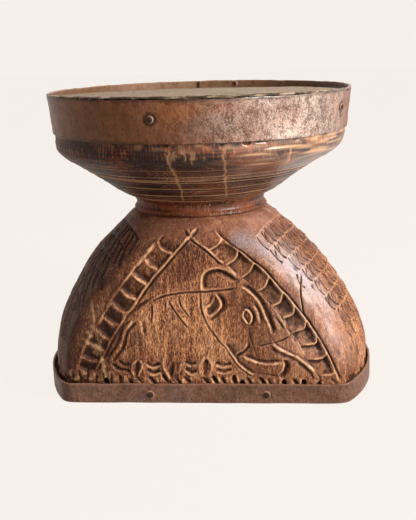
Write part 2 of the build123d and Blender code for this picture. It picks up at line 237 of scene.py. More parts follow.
# ---------------------------------------------------------------- carving
class Relief:
    """Cuts and ridges, in millimetres, on a surface laid out as (u, v)."""

    def __init__(self, u, v):
        self.shape = u.shape
        self.u, self.v = u.ravel(), v.ravel()
        self.cut = np.zeros(self.u.shape)
        self.raised = np.zeros(self.u.shape)

    def height(self, chipped=1.0):
        """The finished surface; chipped is how much of each raised line is left."""
        return self.cut.reshape(self.shape) + self.raised.reshape(self.shape) * chipped

    def near(self, line, margin):
        """Points near a line: their number, distance (left of the line is positive) and share along it."""
        low, high = line.min(axis=0) - margin, line.max(axis=0) + margin
        inside = (self.u > low[0]) & (self.u < high[0]) & (self.v > low[1]) & (self.v < high[1])
        chosen = np.nonzero(inside)[0]
        u, v = self.u[chosen], self.v[chosen]
        best = np.full(len(chosen), 1e9)
        signed = np.full(len(chosen), 1e9)
        along = np.zeros(len(chosen))
        run = 0.0
        for (x0, y0), (x1, y1) in zip(line, line[1:]):
            dx, dy = x1 - x0, y1 - y0
            length = hypot(dx, dy)
            if length < 1e-6:
                continue
            share = unit(((u - x0) * dx + (v - y0) * dy) / length**2)
            away_x, away_y = u - x0 - share * dx, v - y0 - share * dy
            away = np.hypot(away_x, away_y)
            closer = away < best
            side = np.where(dx * away_y - dy * away_x >= 0, 1, -1)
            best = np.where(closer, away, best)
            signed = np.where(closer, side * away, signed)
            along = np.where(closer, run + share * length, along)
            run += length
        return chosen, signed, along, run

    def stroke(self, points, margin, fade):
        """As near, for given points; the last value falls to 0 at the two ends."""
        line = through(points)
        chosen, signed, along, run = self.near(line, margin)
        ends = unit(np.minimum(along, run - along) / fade) if fade else np.ones(len(chosen))
        return chosen, signed, ends

    def groove(self, points, half_width=1.9, depth=1.5, shift=0.0, fade=6.0):
        """A cut with two sloping sides, along the line or to its left by shift."""
        chosen, away, ends = self.stroke(points, half_width + abs(shift) + 1, fade)
        depths = -depth * ends * unit(1 - np.abs(away - shift) / half_width) ** 0.9
        self.cut[chosen] = np.minimum(self.cut[chosen], depths)

    def bead(self, points, half_width=1.5, rise=0.9, shift=0.0, fade=6.0):
        """A rounded ridge, along the line or to its left by shift."""
        chosen, away, ends = self.stroke(points, 3 * half_width + abs(shift), fade)
        rises = rise * ends * np.exp(-((away - shift) / half_width) ** 2)
        self.raised[chosen] = np.maximum(self.raised[chosen], rises)

    def wall(self, points, depth, reach, side, face=2.0, shift=0.0, fade=8.0):
        """A steep face along the line that falls to the side named (1 left, -1 right), then a slow climb."""
        chosen, away, ends = self.stroke(points, face + reach + abs(shift) + 1, fade)
        beyond = (away - shift) * side + face / 2
        depths = -depth * ends * unit(beyond / face) * unit(1 - (beyond - face) / reach)
        self.cut[chosen] = np.minimum(self.cut[chosen], depths)

    def scored(self, points, side, depth=1.6, half_width=2.1, rise=0.9, fade=6.0):
        """A worn bead with a groove along one side of it."""
        self.bead(points, rise=rise, fade=fade)
        self.groove(points, half_width=half_width, depth=depth, shift=side * (half_width + 0.4), fade=fade)

    def gouge(self, start, end, half_width, depth):
        """One push of a round gouge: a leaf-shaped hollow."""
        line = np.array([start, end], float)
        chosen, away, along, run = self.near(line, half_width + 1)
        belly = np.sqrt(unit(1 - (2 * along / run - 1) ** 2))
        shape = unit(1 - (away / (half_width * (0.25 + 0.75 * belly))) ** 2)
        self.cut[chosen] = np.minimum(self.cut[chosen], -depth * belly * shape)

    def ladder(self, outer, inner, rungs, depth, climb, corner=0.0):
        """Hollows between two lines, parted by rungs from top to bottom.  climb is the share of a
        hollow's length over which it rises: short at its lower end, or nearly all of it."""
        margin, overrun, over_top = 2.0, 30.0, 20.0
        whole = 1000.0       # a margin that takes in every point
        sides = [through(line) for line in (outer, inner)]
        low = np.vstack(sides).min(axis=0)
        high = np.vstack(sides).max(axis=0)
        chosen, _, _, _ = self.near(np.array([low, high]), margin)
        part = Relief(self.u[chosen], self.v[chosen])
        _, from_outer, _, _ = part.near(sides[0], whole)
        _, from_inner, _, _ = part.near(sides[1], whole)
        turn = 1 if np.median(from_outer[np.abs(from_inner) < margin]) > 0 else -1
        from_outer, from_inner = from_outer * turn, -from_inner * turn
        between = smooth(from_outer, 0.2, 1.8) * smooth(from_inner, 0.2, 1.8)
        outerness = unit(from_inner / np.maximum(from_outer + from_inner, 0.1))
        above = []
        for rung in rungs:
            line = through(rung)
            before, after = line[0] - line[1], line[-1] - line[-2]
            first = line[0] + overrun * before / np.linalg.norm(before)
            last = line[-1] + overrun * after / np.linalg.norm(after)
            line = np.vstack([first, line, last])
            _, away, _, _ = part.near(line, whole)
            top = Relief(sides[0][:1, 0], sides[0][:1, 1] + over_top)
            _, top_away, _, _ = top.near(line, whole)
            above.append(away * np.sign(top_away[0]))
        hollow = np.zeros(len(chosen))
        for upper, lower in zip(above, above[1:]):
            inside = (upper <= 0) & (lower > 0)
            share = unit(-upper / np.maximum(lower - upper, 0.01))
            if climb < 0.5:
                shape = np.minimum(share / (1 - climb), (1 - share) / climb)
                shape = shape * (1 - 0.55 * (2 * outerness - 1) ** 2)
            else:
                shape = unit(share / 0.1) * (1 - share) ** 0.7
            shape = shape * (1 + corner * (outerness - 0.4))
            hollow = np.where(inside, shape, hollow)
        self.cut[chosen] = np.minimum(self.cut[chosen], -depth * hollow * between)


# lines of the panel, drawn from its middle along X and up Z
LEFT_OUTER = ((-48, 186), (-63, 171), (-86, 143), (-103, 120), (-118, 94), (-132, 72), (-139, 57),
              (-146, 38))
LEFT_INNER = ((-3, 202), (-10, 194), (-25, 179), (-45, 156), (-57, 142), (-69, 126), (-77, 114),
              (-92, 94), (-103, 78), (-111, 63), (-118, 51), (-126, 36))
LEFT_RUNGS = (((-46, 196), (-36, 190), (-22, 186)), ((-48, 186), (-41, 177), (-29, 173)),
              ((-63, 168), (-57, 160), (-48, 155)), ((-77, 151), (-70, 143), (-61, 137)),
              ((-92, 133), (-85, 126), (-74, 121)), ((-103, 117), (-97, 110), (-86, 105)),
              ((-112, 100), (-106, 94), (-95, 91)), ((-119, 84), (-113, 77), (-104, 74)),
              ((-131, 69), (-122, 63), (-113, 62)), ((-138, 54), (-130, 49), (-119, 49)),
              ((-145, 41), (-136, 35), (-126, 37)))
RIGHT_OUTER = ((15, 199), (24, 190), (41, 177), (58, 163), (74, 148), (88, 132), (103, 113), (116, 97),
               (128, 79), (138, 60), (154, 25))
RIGHT_INNER_TOP = ((-17, 201), (-10, 193), (0, 184), (11, 175), (26, 161))
RIGHT_INNER = ((-2, 186), (11, 175), (26, 161), (44, 145), (60, 131), (76, 117), (88, 101), (99, 81),
               (111, 59), (122, 39), (132, 23))
RIGHT_TILES = (((24, 190), (18, 182), (9, 177)), ((41, 176), (37, 167), (27, 160)),
               ((58, 160), (53, 151), (45, 145)), ((74, 143), (70, 135), (61, 130)),
               ((89, 127), (86, 118), (77, 113)), ((102, 111), (100, 104), (89, 99)),
               ((115, 96), (114, 88), (104, 84)), ((127, 77), (125, 70), (114, 68)),
               ((138, 58), (133, 53), (122, 52)), ((147, 39), (143, 34), (131, 33)))
HEAD = ((1, 130), (1, 142), (4, 149), (10, 154), (19, 156), (28, 153), (36, 148), (41, 142))
TRUNK = ((44, 138), (54, 130), (63, 120), (69, 109), (74, 97), (77, 87), (79, 80))
NECK = ((0, 131), (0, 118), (2, 106), (6, 95), (13, 83), (22, 71), (29, 63), (34, 54), (39, 46), (47, 39),
        (58, 31))
BACK = ((-66, 115), (-57, 121), (-47, 126), (-31, 129), (-15, 131), (0, 132), (20, 134), (40, 137))
FLANK = ((-92, 88), (-83, 101), (-75, 109), (-65, 115), (-56, 119), (-47, 122))
EAR = ((16, 129), (20, 121), (22, 114), (18, 108), (13, 103), (7, 98))
EAR_FOLD = ((14, 129), (13, 122), (9, 115), (2, 111))
EYE = (((47, 108), (50, 109), (54, 105), (56, 100), (54, 94), (51, 92)),
       ((47, 108), (46, 102), (48, 97), (51, 92)))
UNDER_EYE = ((51, 92), (52, 86), (53, 77), (56, 68), (58, 61), (60, 54), (61, 41))
BROW = ((54, 115), (58, 112), (62, 106), (63, 99), (63, 92))
MOUTH = ((49, 73), (48, 67), (44, 62), (38, 57), (35, 53))
TUSK_TOP = ((44, 57), (52, 52), (64, 48), (76, 47), (90, 48))
TUSK_END = ((90, 50), (92, 44), (90, 38), (84, 33))
TUSK_LOW = ((49, 38), (66, 34), (85, 32))
HIND = ((-76, 99), (-83, 92), (-89, 85), (-92, 77), (-95, 67), (-102, 58), (-108, 50))
TAIL = ((-74, 100), (-70, 91), (-68, 77))
SADDLE = (((-55, 121), (-54, 107), (-57, 92)), ((-36, 122), (-30, 110), (-22, 98), (-14, 87)),
          ((-25, 124), (-21, 113), (-13, 101)), ((-10, 126), (-8, 117)))
LOWER_RIDGE = ((76, 71), (82, 65), (92, 59), (102, 54.5), (111, 49), (120, 41), (125, 33), (130, 23))
UPPER_THIN = ((59, 66), (75, 69), (84, 71), (92, 75), (99, 79))
LEAF = (((82, 103), (89, 95), (94, 87)), ((80, 101), (82, 93), (86, 84)))
STUBS = (((94, 86), (98, 80)), ((104, 72), (109, 64), (114, 56)))
PETALS = (((-78, 30), (-83, 38), (-81, 46), (-73, 51)), ((-78, 30), (-73, 36), (-70, 44), (-73, 51)),
          ((-33, 22), (-40, 32), (-46, 42), (-46, 54)), ((-33, 33), (-27, 38), (-25, 46), (-26, 53)),
          ((-2, 30), (-4, 39), (-2, 48), (3, 55)), ((5, 30), (9, 38), (9, 46), (3, 55)))
PETAL_MIDDLES = ((-77, 41), (-37, 39), (2, 42))
STEPS = (((-99, 50), (-93, 44), (-84, 44)), ((-106, 46), (-99, 39), (-84, 36)),
         ((-67, 47), (-59, 42), (-49, 46)), ((-66, 39), (-58, 34), (-49, 37)),
         ((-22, 48), (-14, 44), (-6, 46)), ((-22, 40), (-14, 34), (-6, 37)),
         ((12, 47), (21, 43), (33, 45)), ((13, 39), (22, 36), (32, 38)))
CRACKS = (((-126, 122), (-124, 108), (-123, 94), (-125, 86), (-132, 75), (-138, 62)),
          ((-121, 91), (-120, 76), (-118, 62), (-117, 50), (-112, 27)),
          ((-130, 67), (-124, 62), (-119, 55), (-116, 48)))
KNOTS = ((-124, 88), (-129, 81), (-133, 72), (-121, 66), (-117, 53), (-124, 58), (-115, 45), (-119, 74))
KNOBS = ((-168, 26), (-156, 34), (-148, 29), (-139, 35), (-129, 30), (-120, 27), (-111, 31), (-101, 27),
         (-92, 26))
BORDER_GOUGES = ((-96, 30), (-85, 27), (-73, 29), (-58, 28), (-44, 31), (-29, 27), (-19, 30), (4, 27),
                 (12, 29), (21, 28), (33, 29), (50, 28), (66, 27), (75, 27), (104, 27), (128, 27),
                 (145, 29))
PITS = ((-112, 26), (43, 24), (91, 25), (113, 25))
# where a sheen is painted on the ridge beside the right-hand ladder
SHEEN = ((30, 194), (47, 185.5), (62, 179), (82, 167.5), (94, 159.5), (108, 145), (123, 129.5),
         (141, 104), (152, 87), (159, 64))


def carve_panel(relief):
    """The elephant between its two leaning ladder bands."""
    relief.ladder(LEFT_OUTER, LEFT_INNER, LEFT_RUNGS, depth=4.2, climb=0.24)
    relief.ladder(RIGHT_OUTER, RIGHT_INNER, RIGHT_TILES, depth=3.8, climb=1.0, corner=1.1)
    relief.bead(LEFT_OUTER, half_width=2.1, rise=1.9)
    relief.scored(LEFT_INNER, side=1, depth=1.9, rise=1.2)
    relief.bead(RIGHT_OUTER, half_width=1.7, rise=1.2, shift=-1.4)
    relief.groove(RIGHT_OUTER, half_width=2.2, depth=2.4, shift=1.2)
    relief.scored(RIGHT_INNER_TOP, side=-1, depth=1.8, rise=1.3)
    relief.groove(RIGHT_INNER[3:], half_width=1.5, depth=1.2)
    for rung in LEFT_RUNGS[1:]:
        relief.bead(rung, half_width=2.3, rise=0.9, shift=0.9, fade=0.5)
    for tile in RIGHT_TILES:
        relief.bead(tile, half_width=1.4, rise=1.0, fade=1)
    relief.wall(HEAD, depth=3.8, reach=6.0, side=-1, face=2.6, shift=-0.6)
    relief.bead(HEAD, half_width=2.0, rise=1.0, shift=1.6, fade=3)
    relief.wall(TRUNK, depth=3.0, reach=5.0, side=1, face=2.4)
    relief.bead(TRUNK, half_width=1.7, rise=1.2, shift=-1.6, fade=3)
    relief.scored(NECK, side=-1, depth=1.0, half_width=1.5, rise=0.8)
    relief.wall(NECK[5:], depth=1.6, reach=4.0, side=1, shift=1.2)
    relief.scored(BACK, side=-1, depth=1.7, rise=0.5)
    relief.wall(FLANK, depth=3.0, reach=3.5, side=1, face=4.0, fade=14)
    relief.wall(EAR, depth=3.6, reach=5.0, side=1, face=2.2, shift=0.4)
    relief.bead(EAR, half_width=1.6, rise=1.2, shift=-1.2)
    relief.gouge((14, 127), (9, 102), half_width=7.5, depth=2.2)
    relief.scored(EAR_FOLD, side=-1, depth=1.9, rise=0.7)
    for lid in EYE:
        relief.bead(lid, half_width=1.4, rise=1.2, fade=1)
    relief.groove(EYE[1], half_width=1.8, depth=1.8, shift=1.6, fade=2)
    relief.groove(EYE[0], half_width=2.0, depth=2.2, shift=2.2, fade=3)
    relief.groove(UNDER_EYE, half_width=1.2, depth=0.9)
    relief.wall(BROW, depth=1.6, reach=3.0, side=1, face=1.4, shift=1.4)
    relief.bead(BROW, half_width=1.9, rise=1.7, fade=5)
    relief.scored(MOUTH, side=1, depth=2.2, rise=0.5)
    relief.wall(MOUTH[2:], depth=2.6, reach=4.0, side=1, fade=3)
    relief.wall(TUSK_TOP, depth=2.0, reach=4.0, side=1)
    relief.bead(TUSK_TOP, half_width=2.0, rise=1.1, shift=-1.2)
    relief.wall(TUSK_END, depth=4.0, reach=5.5, side=1, fade=3)
    relief.bead(TUSK_END, half_width=1.2, rise=0.7, shift=-1.2, fade=2)
    relief.groove(TUSK_LOW, half_width=1.8, depth=1.3)
    relief.wall(HIND, depth=2.2, reach=4.0, side=-1, shift=-1.4)
    relief.bead(HIND, half_width=2.3, rise=1.8, fade=3)
    relief.groove(HIND, half_width=2.4, depth=2.4, shift=4.0)
    relief.wall(TAIL, depth=2.0, reach=4.0, side=1, shift=1.4)
    relief.bead(TAIL, half_width=2.6, rise=1.8, fade=6)
    for line in SADDLE:
        relief.scored(line, side=-1, depth=1.2, half_width=1.5, rise=0.8)
    relief.bead(LOWER_RIDGE, half_width=2.2, rise=1.7, fade=3)
    relief.wall(LOWER_RIDGE, depth=2.0, reach=6.0, side=-1, shift=-1.0)
    relief.groove(LOWER_RIDGE, half_width=1.5, depth=1.2, shift=3.0)
    relief.groove(UPPER_THIN, half_width=1.6, depth=1.3)
    for line in LEAF:
        relief.scored(line, side=-1, depth=1.6, rise=0.5)
    for line in STUBS:
        relief.scored(line, side=1, depth=1.8, rise=0.8, fade=2)
    for line in PETALS:
        relief.bead(line, half_width=1.6, rise=1.3, fade=2)
    for x, z in PETAL_MIDDLES:
        relief.gouge((x - 1, z - 10), (x + 2, z + 10), half_width=3.4, depth=2.2)
    for line in STEPS:
        relief.wall(line, depth=2.6, reach=3.6, side=1, face=2.4, fade=3)
        relief.bead(line, half_width=1.5, rise=0.7, shift=-1.0, fade=3)
    for number, (x, z) in enumerate(BORDER_GOUGES):
        size, lean = chances([(number, 1, 0), (number, 2, 0)], 12)
        top = z + 3 + size
        relief.gouge((x - 3 + 3 * lean, top), (x + 3, z - 7), half_width=2.5 + size, depth=2.2 + size)
        relief.bead(((x + 4, top), (x + 6, z - 5)), half_width=1.6, rise=1.1 + 0.4 * lean, fade=2)
    for x, z in PITS:
        relief.gouge((x, z + 3), (x, z - 6), half_width=3.4, depth=6.0)


# long lines round each side: height at the side's middle, drop to their ends, half length in degrees
SIDE_LEVELS = ((198, 11.5, 54), (183.5, 9.5, 49), (168.5, 7.5, 44), (153.5, 6, 40), (138.5, 5.5, 36),
               (121, 5, 33), (104, 3.5, 30), (85, 1, 27), (66, 0, 23))
STRETCH = 2.0                # millimetres to a degree round a side, about half way up


def carve_side(relief, line_rise, line_depth, leaf_depth, slant):
    """Long level lines with leaf-shaped cuts between them; u is STRETCH times degrees towards the front."""
    lines = []
    for height, drop, half in SIDE_LEVELS:
        at = np.linspace(-half, half, 15)
        share = np.abs(at / half)
        levels = height - 1.3 * drop * share**3.2 - 2.5 * (1 - share) ** 2
        lines.append(np.stack([STRETCH * at, levels], axis=-1))
    for line in lines[:7]:
        if line_depth:
            relief.groove(line, half_width=1.5, depth=line_depth, fade=8)
        relief.bead(line, half_width=1.3, rise=line_rise, fade=8)
    for row, (upper, lower) in enumerate(zip(lines, lines[1:])):
        weaker = 1 - 0.08 * row
        for number, u in enumerate(np.arange(upper[0][0] + 6, upper[-1][0] - 2, 10.5)):
            shift, lean, size = chances([(row, number, part) for part in (1, 2, 3)], 11)
            u += 1.5 * shift + 5 * (row % 2)
            reach = slant + 2.5 * lean
            top = np.interp(u, upper[:, 0], upper[:, 1]) + 0.5
            foot = np.interp(u + reach, lower[:, 0], lower[:, 1]) - 0.5
            middle = 0.5 * (top + foot)
            bend = ((u, top), (u + 0.5 * reach + 1.8, middle), (u + reach, foot))
            relief.groove(bend, half_width=2.0, depth=leaf_depth * weaker * (0.8 + 0.2 * size), fade=1)
            relief.wall(bend, depth=1.1 * weaker, reach=8, side=-1, face=1.5, fade=5)
            if size > -0.3:
                across = 6.5 if slant < 0 else -6.5
                crossing = ((u - across, top - 1), (u - 0.4 * across, middle + 1),
                            (u + 0.1 * across, foot + 2))
                relief.groove(crossing, half_width=1.3, depth=0.6 * leaf_depth * weaker, fade=4)


# ---------------------------------------------------------------- the foot
BEHIND_STRAP = ((187.5, 0.0), (190.5, 1.0), (192.3, 3.0), (192.5, 9.0), (192.5, 15.0), (191.8, 19.0))
RIDGE_BEARING = 38           # degrees from the X axis to the polished corners
SCAR = ((111, 142), (109.5, 126), (112, 109), (114, 102))      # a long cut beside the right-hand ladder


def flat_at(height):
    """How far the face of a flat is from the middle, at a height."""
    return FLAT_FRONT - height * tan(FLAT_LEAN)


def plan_radius(turn, round_radius, flat, ridge):
    """Distance from the middle to a round plan cut by two flats, with its corners rounded."""
    bearing = np.abs(np.arcsin(np.sin(turn)))
    reach = round_radius - ridge
    offset = flat - ridge
    corner_x = np.sqrt(np.maximum(reach**2 - offset**2, 0))
    corner_turn = np.arctan2(offset, corner_x)
    flat_turn = np.arctan2(flat, corner_x)
    away = bearing - corner_turn
    on_arc = reach * np.cos(away) + np.sqrt(np.maximum(ridge**2 - (reach * np.sin(away)) ** 2, 0))
    on_flat = flat / np.maximum(np.sin(bearing), 1e-3)
    radius = np.where(bearing < corner_turn, round_radius, np.where(bearing > flat_turn, on_flat, on_arc))
    return np.where(round_radius <= flat, round_radius, radius)


def column_turns(reference_radius, flat, fine, coarse, fine_back):
    """Angles of a grid's columns: close together on the front, wider on the sides."""
    turn = np.linspace(-pi, pi, 7201)
    radius = plan_radius(turn, reference_radius, flat, RIDGE_RADIUS)
    x, y = radius * np.cos(turn), radius * np.sin(turn)
    step = np.hypot(np.diff(x), np.diff(y))
    middle = (turn[1:] + turn[:-1]) / 2
    frontness = smooth(-np.sin(middle), 0.25, 0.42)
    backness = smooth(np.sin(middle), 0.25, 0.42)
    spacing = coarse + (fine - coarse) * frontness + (fine_back - coarse) * backness
    run = np.concatenate([[0], np.cumsum(step / spacing)])
    count = int(round(run[-1]))
    return np.interp(np.arange(count) * run[-1] / count, run, turn)


def round_the_drift(radius, height, turns):
    """Points round the wood's own middle line, which wanders as it goes up."""
    return np.stack([
        drift(height) + radius * np.cos(turns),
        radius * np.sin(turns),
        height + 0 * turns,
    ], axis=-1)


class Grid:
    """A surface's points before it is carved, row by row."""

    def noise(self, size, seed):
        """Noise at the points."""
        return noise(self.points, size, seed)


class FootGrid(Grid):
    """The dome: its points, the way each one faces, and the unevenness its cuts share."""

    def __init__(self):
        turns = column_turns(186, flat_at(60), fine=0.9, coarse=1.1, fine_back=1.6)
        side = even(through(DOME_SIDE), 1.0)
        flange = even(through(FLANGE), 0.9)[1:]
        profile = np.vstack([BEHIND_STRAP, side, flange])
        radius, height = profile[:, :1], profile[:, 1:]
        edge_inset = np.interp(height, (0, 3), (3.0, 0.0))
        corner = np.interp(height, (15, 24), (18.5, RIDGE_RADIUS))
        plan = plan_radius(turns[None, :], radius, flat_at(height) - edge_inset, corner)
        self.points = round_the_drift(plan, height, turns)
        self.x, self.z = self.points[..., 0], self.points[..., 2]
        self.turn = np.broadcast_to(turns, plan.shape)
        self.front = -np.sin(self.turn)      # 1 at the front, -1 at the back
        self.right = np.cos(self.turn)       # 1 at the right, -1 at the left
        self.sideness = smooth(np.abs(self.right), 0.56, 0.66)
        self.waver = 0.8 * self.noise(17, 8) + 0.4 * self.noise(6, 9)
        self.wander = 0.8 * self.noise(17, 10) + 0.4 * self.noise(6, 12)
        self.chipped = np.clip(0.85 + 0.7 * self.noise(7, 13) + 0.4 * self.noise(3, 14), 0.15, 1.35)


def carve_panels(grid):
    """The panel, on the front and again on the back: its cuts, raised lines and the sheen painted beside it.
    """
    cut, lips, painted_sheen = (np.zeros(grid.turn.shape) for _ in range(3))
    softer = np.clip(1.05 + 0.3 * grid.noise(12, 21) + 0.15 * grid.noise(4, 22), 0.7, 1.3)
    for facing in (1, -1):
        relief = Relief(facing * grid.x + grid.waver, grid.z + grid.wander)
        carve_panel(relief)
        shown = smooth(facing * grid.front, 0.30, 0.42)
        cut += relief.height(grid.chipped) * shown * softer
        lips += relief.raised.reshape(cut.shape) * shown * grid.chipped
        # a pale sheen painted along the ridge: a painted reflection
        sheen_line = Relief(facing * grid.x, grid.z)
        sheen_line.bead(SHEEN, half_width=7.5, rise=1.0, fade=16)
        painted_sheen += sheen_line.height() * smooth(facing * grid.front, 0.25, 0.42)
    return cut, lips, painted_sheen


def carve_front(grid):
    """What only the front has: filled cracks, a scar and knobs; and how pale each place is."""
    filled = Relief(grid.x + grid.waver, grid.z + grid.wander)
    for line in CRACKS:
        filled.bead(line, half_width=1.4, rise=1.2, fade=10)
    for u, v in KNOTS:
        filled.bead(((u - 1.5, v + 2), (u + 1.5, v - 2)), half_width=1.7, rise=1.5, fade=0)
    shown = smooth(grid.front, 0.45, 0.6)
    pale = filled.height(0.3 + 0.8 * grid.chipped) * shown
    scar = Relief(grid.x + grid.waver, grid.z + grid.wander)
    scar.groove(SCAR, half_width=1.3, depth=2.6, fade=5)
    lumpy = Relief(grid.x + 2 * grid.waver, grid.z + 2 * grid.wander)
    for u, v in KNOBS:
        lumpy.bead(((u - 2, v - 1), (u + 3, v + 1)), half_width=3.4, rise=2.6, fade=0)
    for (left_u, left_v), (right_u, right_v) in zip(KNOBS, KNOBS[1:]):
        u, v = (left_u + right_u) / 2, (left_v + right_v) / 2
        lumpy.gouge((u, v + 6), (u + 1, v - 7), half_width=1.9, depth=1.7)
    knobs = lumpy.height(grid.chipped) * smooth(grid.front, 0.3, 0.45)
    return scar.height() * shown + 0.5 * pale + knobs, unit(pale + 0.16 * knobs)


def carve_sides(grid):
    """The two sides: their level lines stand on the right and are sunk on the left."""
    surfaces = []
    for side in (1, -1):
        round_side = np.degrees(np.arctan2(np.sin(grid.turn), side * grid.right))
        surfaces.append(Relief(-STRETCH * round_side + 1.2 * grid.waver, grid.z + 0.7 * grid.wander))
    right, left = surfaces
    carve_side(right, line_rise=1.1, line_depth=0.0, leaf_depth=3.0, slant=-4.0)
    carve_side(left, line_rise=0.0, line_depth=1.8, leaf_depth=3.0, slant=5.0)
    return grid.sideness * np.where(grid.right > 0, right.height(0.5 + 0.5 * grid.chipped), left.height())


def eaten_edge(grid):
    """The eaten wood just over the strap, deepest at the corners and round the sides."""
    eaten = smooth(grid.z, 37, 23) * (0.6 + 0.4 * grid.noise(30, 6))
    far_out = smooth(np.abs(grid.x), 120, 165)
    depth = eaten * (1.0 + 3.5 * far_out) * np.clip(0.45 + grid.noise(7.5, 7), 0, 1.2)
    return np.where(grid.z > 20, -depth, 0)


def make_foot(material):
    """The carved dome of the block, up to the groove under the neck."""
    grid = FootGrid()
    panels, lips, painted_sheen = carve_panels(grid)
    front, pale = carve_front(grid)
    cut = panels + front + carve_sides(grid)
    grain = 0.13 * grid.noise((1.9, 1.9, 26), 1) + 0.22 * grid.noise((5, 5, 34), 2)
    lumps = 0.5 * grid.noise(38, 3) + 0.3 * grid.noise(13, 4)
    rough_sides = np.maximum(smooth(grid.z, 96, 66) * grid.sideness, 0.75 * grid.sideness)
    hacks = -1.3 * rough_sides * unit(grid.noise((6.5, 6.5, 19), 5) - 0.05)
    carved = cut + hacks + eaten_edge(grid)
    trim = smooth(grid.z, 201, 196)
    height_field = (carved + grain + lumps) * trim + grain * (1 - trim)
    points = grid.points + outwards(grid.points) * height_field[..., None]
    points[..., 2] = np.maximum(points[..., 2], 0)
    marks = foot_marks(grid, cut + hacks, carved, grain, lips, painted_sheen, pale)
    return skin("carved_foot", points, material, marks)


def foot_marks(grid, tooled, carved, grain, lips, painted_sheen, pale):
    """Where the carved wood is worn, sunk, dirty, polished or aged, and where shade, light and a sheen are
    painted on it.
    """
    panel_u = np.where(grid.front > 0, grid.x, -grid.x)
    quarter = np.abs(np.degrees(np.arcsin(np.sin(grid.turn))))
    edge, hollow = edge_and_hollow(carved + 0.5 * grain, 0.5, 0.6)
    pocket = unit((blurred(carved, 16, 16) - carved) / 1.6)
    patchy = np.clip(0.8 + 0.7 * grid.noise((11, 11, 14), 17) + 0.5 * grid.noise(3.5, 18), 0.2, 1.3)
    dim = grid.sideness * smooth(-grid.right, 0.2, 0.5)
    in_shade = 0.35 * grid.sideness * smooth(grid.z, 60, 110) + 0.3 + 0.4 * dim
    off_lips = 1 - 0.8 * unit(lips)
    # the cuts are darker: patina in the hollows, with painted shade (in_shade) most on the sides and the dim
    # left
    sunk = (0.6 * hollow + 0.9 * pocket) * patchy + in_shade * unit(-tooled / 2.0)
    sunk = unit(sunk * off_lips)
    # handling has polished two of the four corners; their paler colour is a painted highlight
    ridge = smooth(np.abs(quarter - RIDGE_BEARING), 20, 4) * smooth(grid.z, 30, 70)
    ridge = ridge * smooth(grid.right * grid.front, -0.1, 0.3) * (1 - sunk)
    # painted shade over the left of the front, the side away from the window
    left_shade = smooth(grid.x, -70, -118) * smooth(grid.front, 0.1, 0.4) * off_lips
    side_grime = 0.9 * grid.sideness * smooth(grid.z, 90, 120) * unit(0.3 + grid.noise((13, 13, 10), 19))
    worn_flange = smooth(grid.z, 198, 203) * unit(0.55 + grid.noise((9, 9, 4), 16))
    shaded = smooth(panel_u, 5, 60) * smooth(grid.front, 0.2, 0.5)
    middle = np.exp(-(((panel_u + 20) / 66) ** 2 + ((grid.z - 90) / 42) ** 2) ** 2)
    # the lower right side, where the window falls, is left out of the age darkening: painted light
    right_top = grid.sideness * (grid.right > 0) * smooth(grid.z, 190, 120)
    return {
        # pale worn edges, kept darker on the dim left side: painted shade
        "edge": unit((0.5 * edge + 0.44 * lips * patchy) * (1 - 0.75 * dim) + 0.4 * worn_flange),
        "hollow": sunk,
        "grime_and_shade": unit(left_shade + side_grime),
        "pale": pale,
        "ridge": ridge,
        "painted_sheen": painted_sheen * smooth(grid.z, 80, 140) * (1 - sunk),
        "flange": smooth(grid.z, 178, 200),
        "shade": unit(0.45 * shaded * (1 - ridge)),
        "age_and_lit_side": unit(1 - middle - 0.5 * ridge - 0.7 * right_top),
    }


# ---------------------------------------------------------------- neck, bowl and seat
BOWL_GROOVES = ((150, 0.4), (135, 1.0), (129, 0.9), (124, 0.6), (111, 1.0), (97, 1.0), (88, 0.5),
                (83, 0.8))   # distance from the axis, and strength
# lines on the bowl: degrees round, and height
BOWL_CRACKS = (((-96.4, 298), (-95.5, 286), (-94.5, 267), (-94.5, 246), (-97.6, 226)),
               ((-77, 296), (-76.9, 286), (-74.4, 272), (-70.9, 251), (-65.6, 228)),
               ((-51.7, 296), (-50.6, 283), (-46.9, 273)))
BOWL_STREAKS = (((-73, 287), (-66, 288.5), (-56, 287)), ((-64, 293), (-55, 294), (-42, 292)),
                ((-44, 284), (-36, 285), (-28, 283)), ((-70, 276), (-62, 277), (-54, 276)))
BOWL_STRETCH = 2.0           # millimetres to a degree round the bowl
RIM_PITS = ((((-70.5, 300.5), (-67.5, 299.5)), 2.4, 3.5), (((-66.0, 300.5), (-61.0, 300.5)), 1.2, 2.0))
BEHIND_BAND = ((168.4, 303.5), (169.0, 310.0), (170.4, 325.0))
SEAT_LIP = (171.2, 174.6, 174.7, 173.6)      # rings of the worn lip that stands over the iron
SEAT_EDGE_DROP = (1.0, 0.4, -0.9, -1.9, -2.3, -2.3, -2.1, -1.7, -1.2, -0.8, -0.5, -0.2)
SEAT_CHECKS = ((-128, 20, 150, 1.6), (-62, 60, 160, 1.1), (8, 35, 165, 1.5), (63, 15, 120, 1.2),
               (118, 50, 162, 1.3), (171, 70, 160, 1.0))   # bearing, start, end and half width


def seat_height(y):
    """The worn top of the block: it falls from front to back."""
    share = (y + BAND_RADIUS - BAND_WALL) / (2 * (BAND_RADIUS - BAND_WALL))
    return BAND_TOP + SEAT_FRONT_RISE - share * (SEAT_FRONT_RISE + SEAT_BACK_DROP)


def on_bowl(line):
    """A line of degrees and heights, as places on the bowl's layout."""
    return [(BOWL_STRETCH * bearing, height) for bearing, height in line]


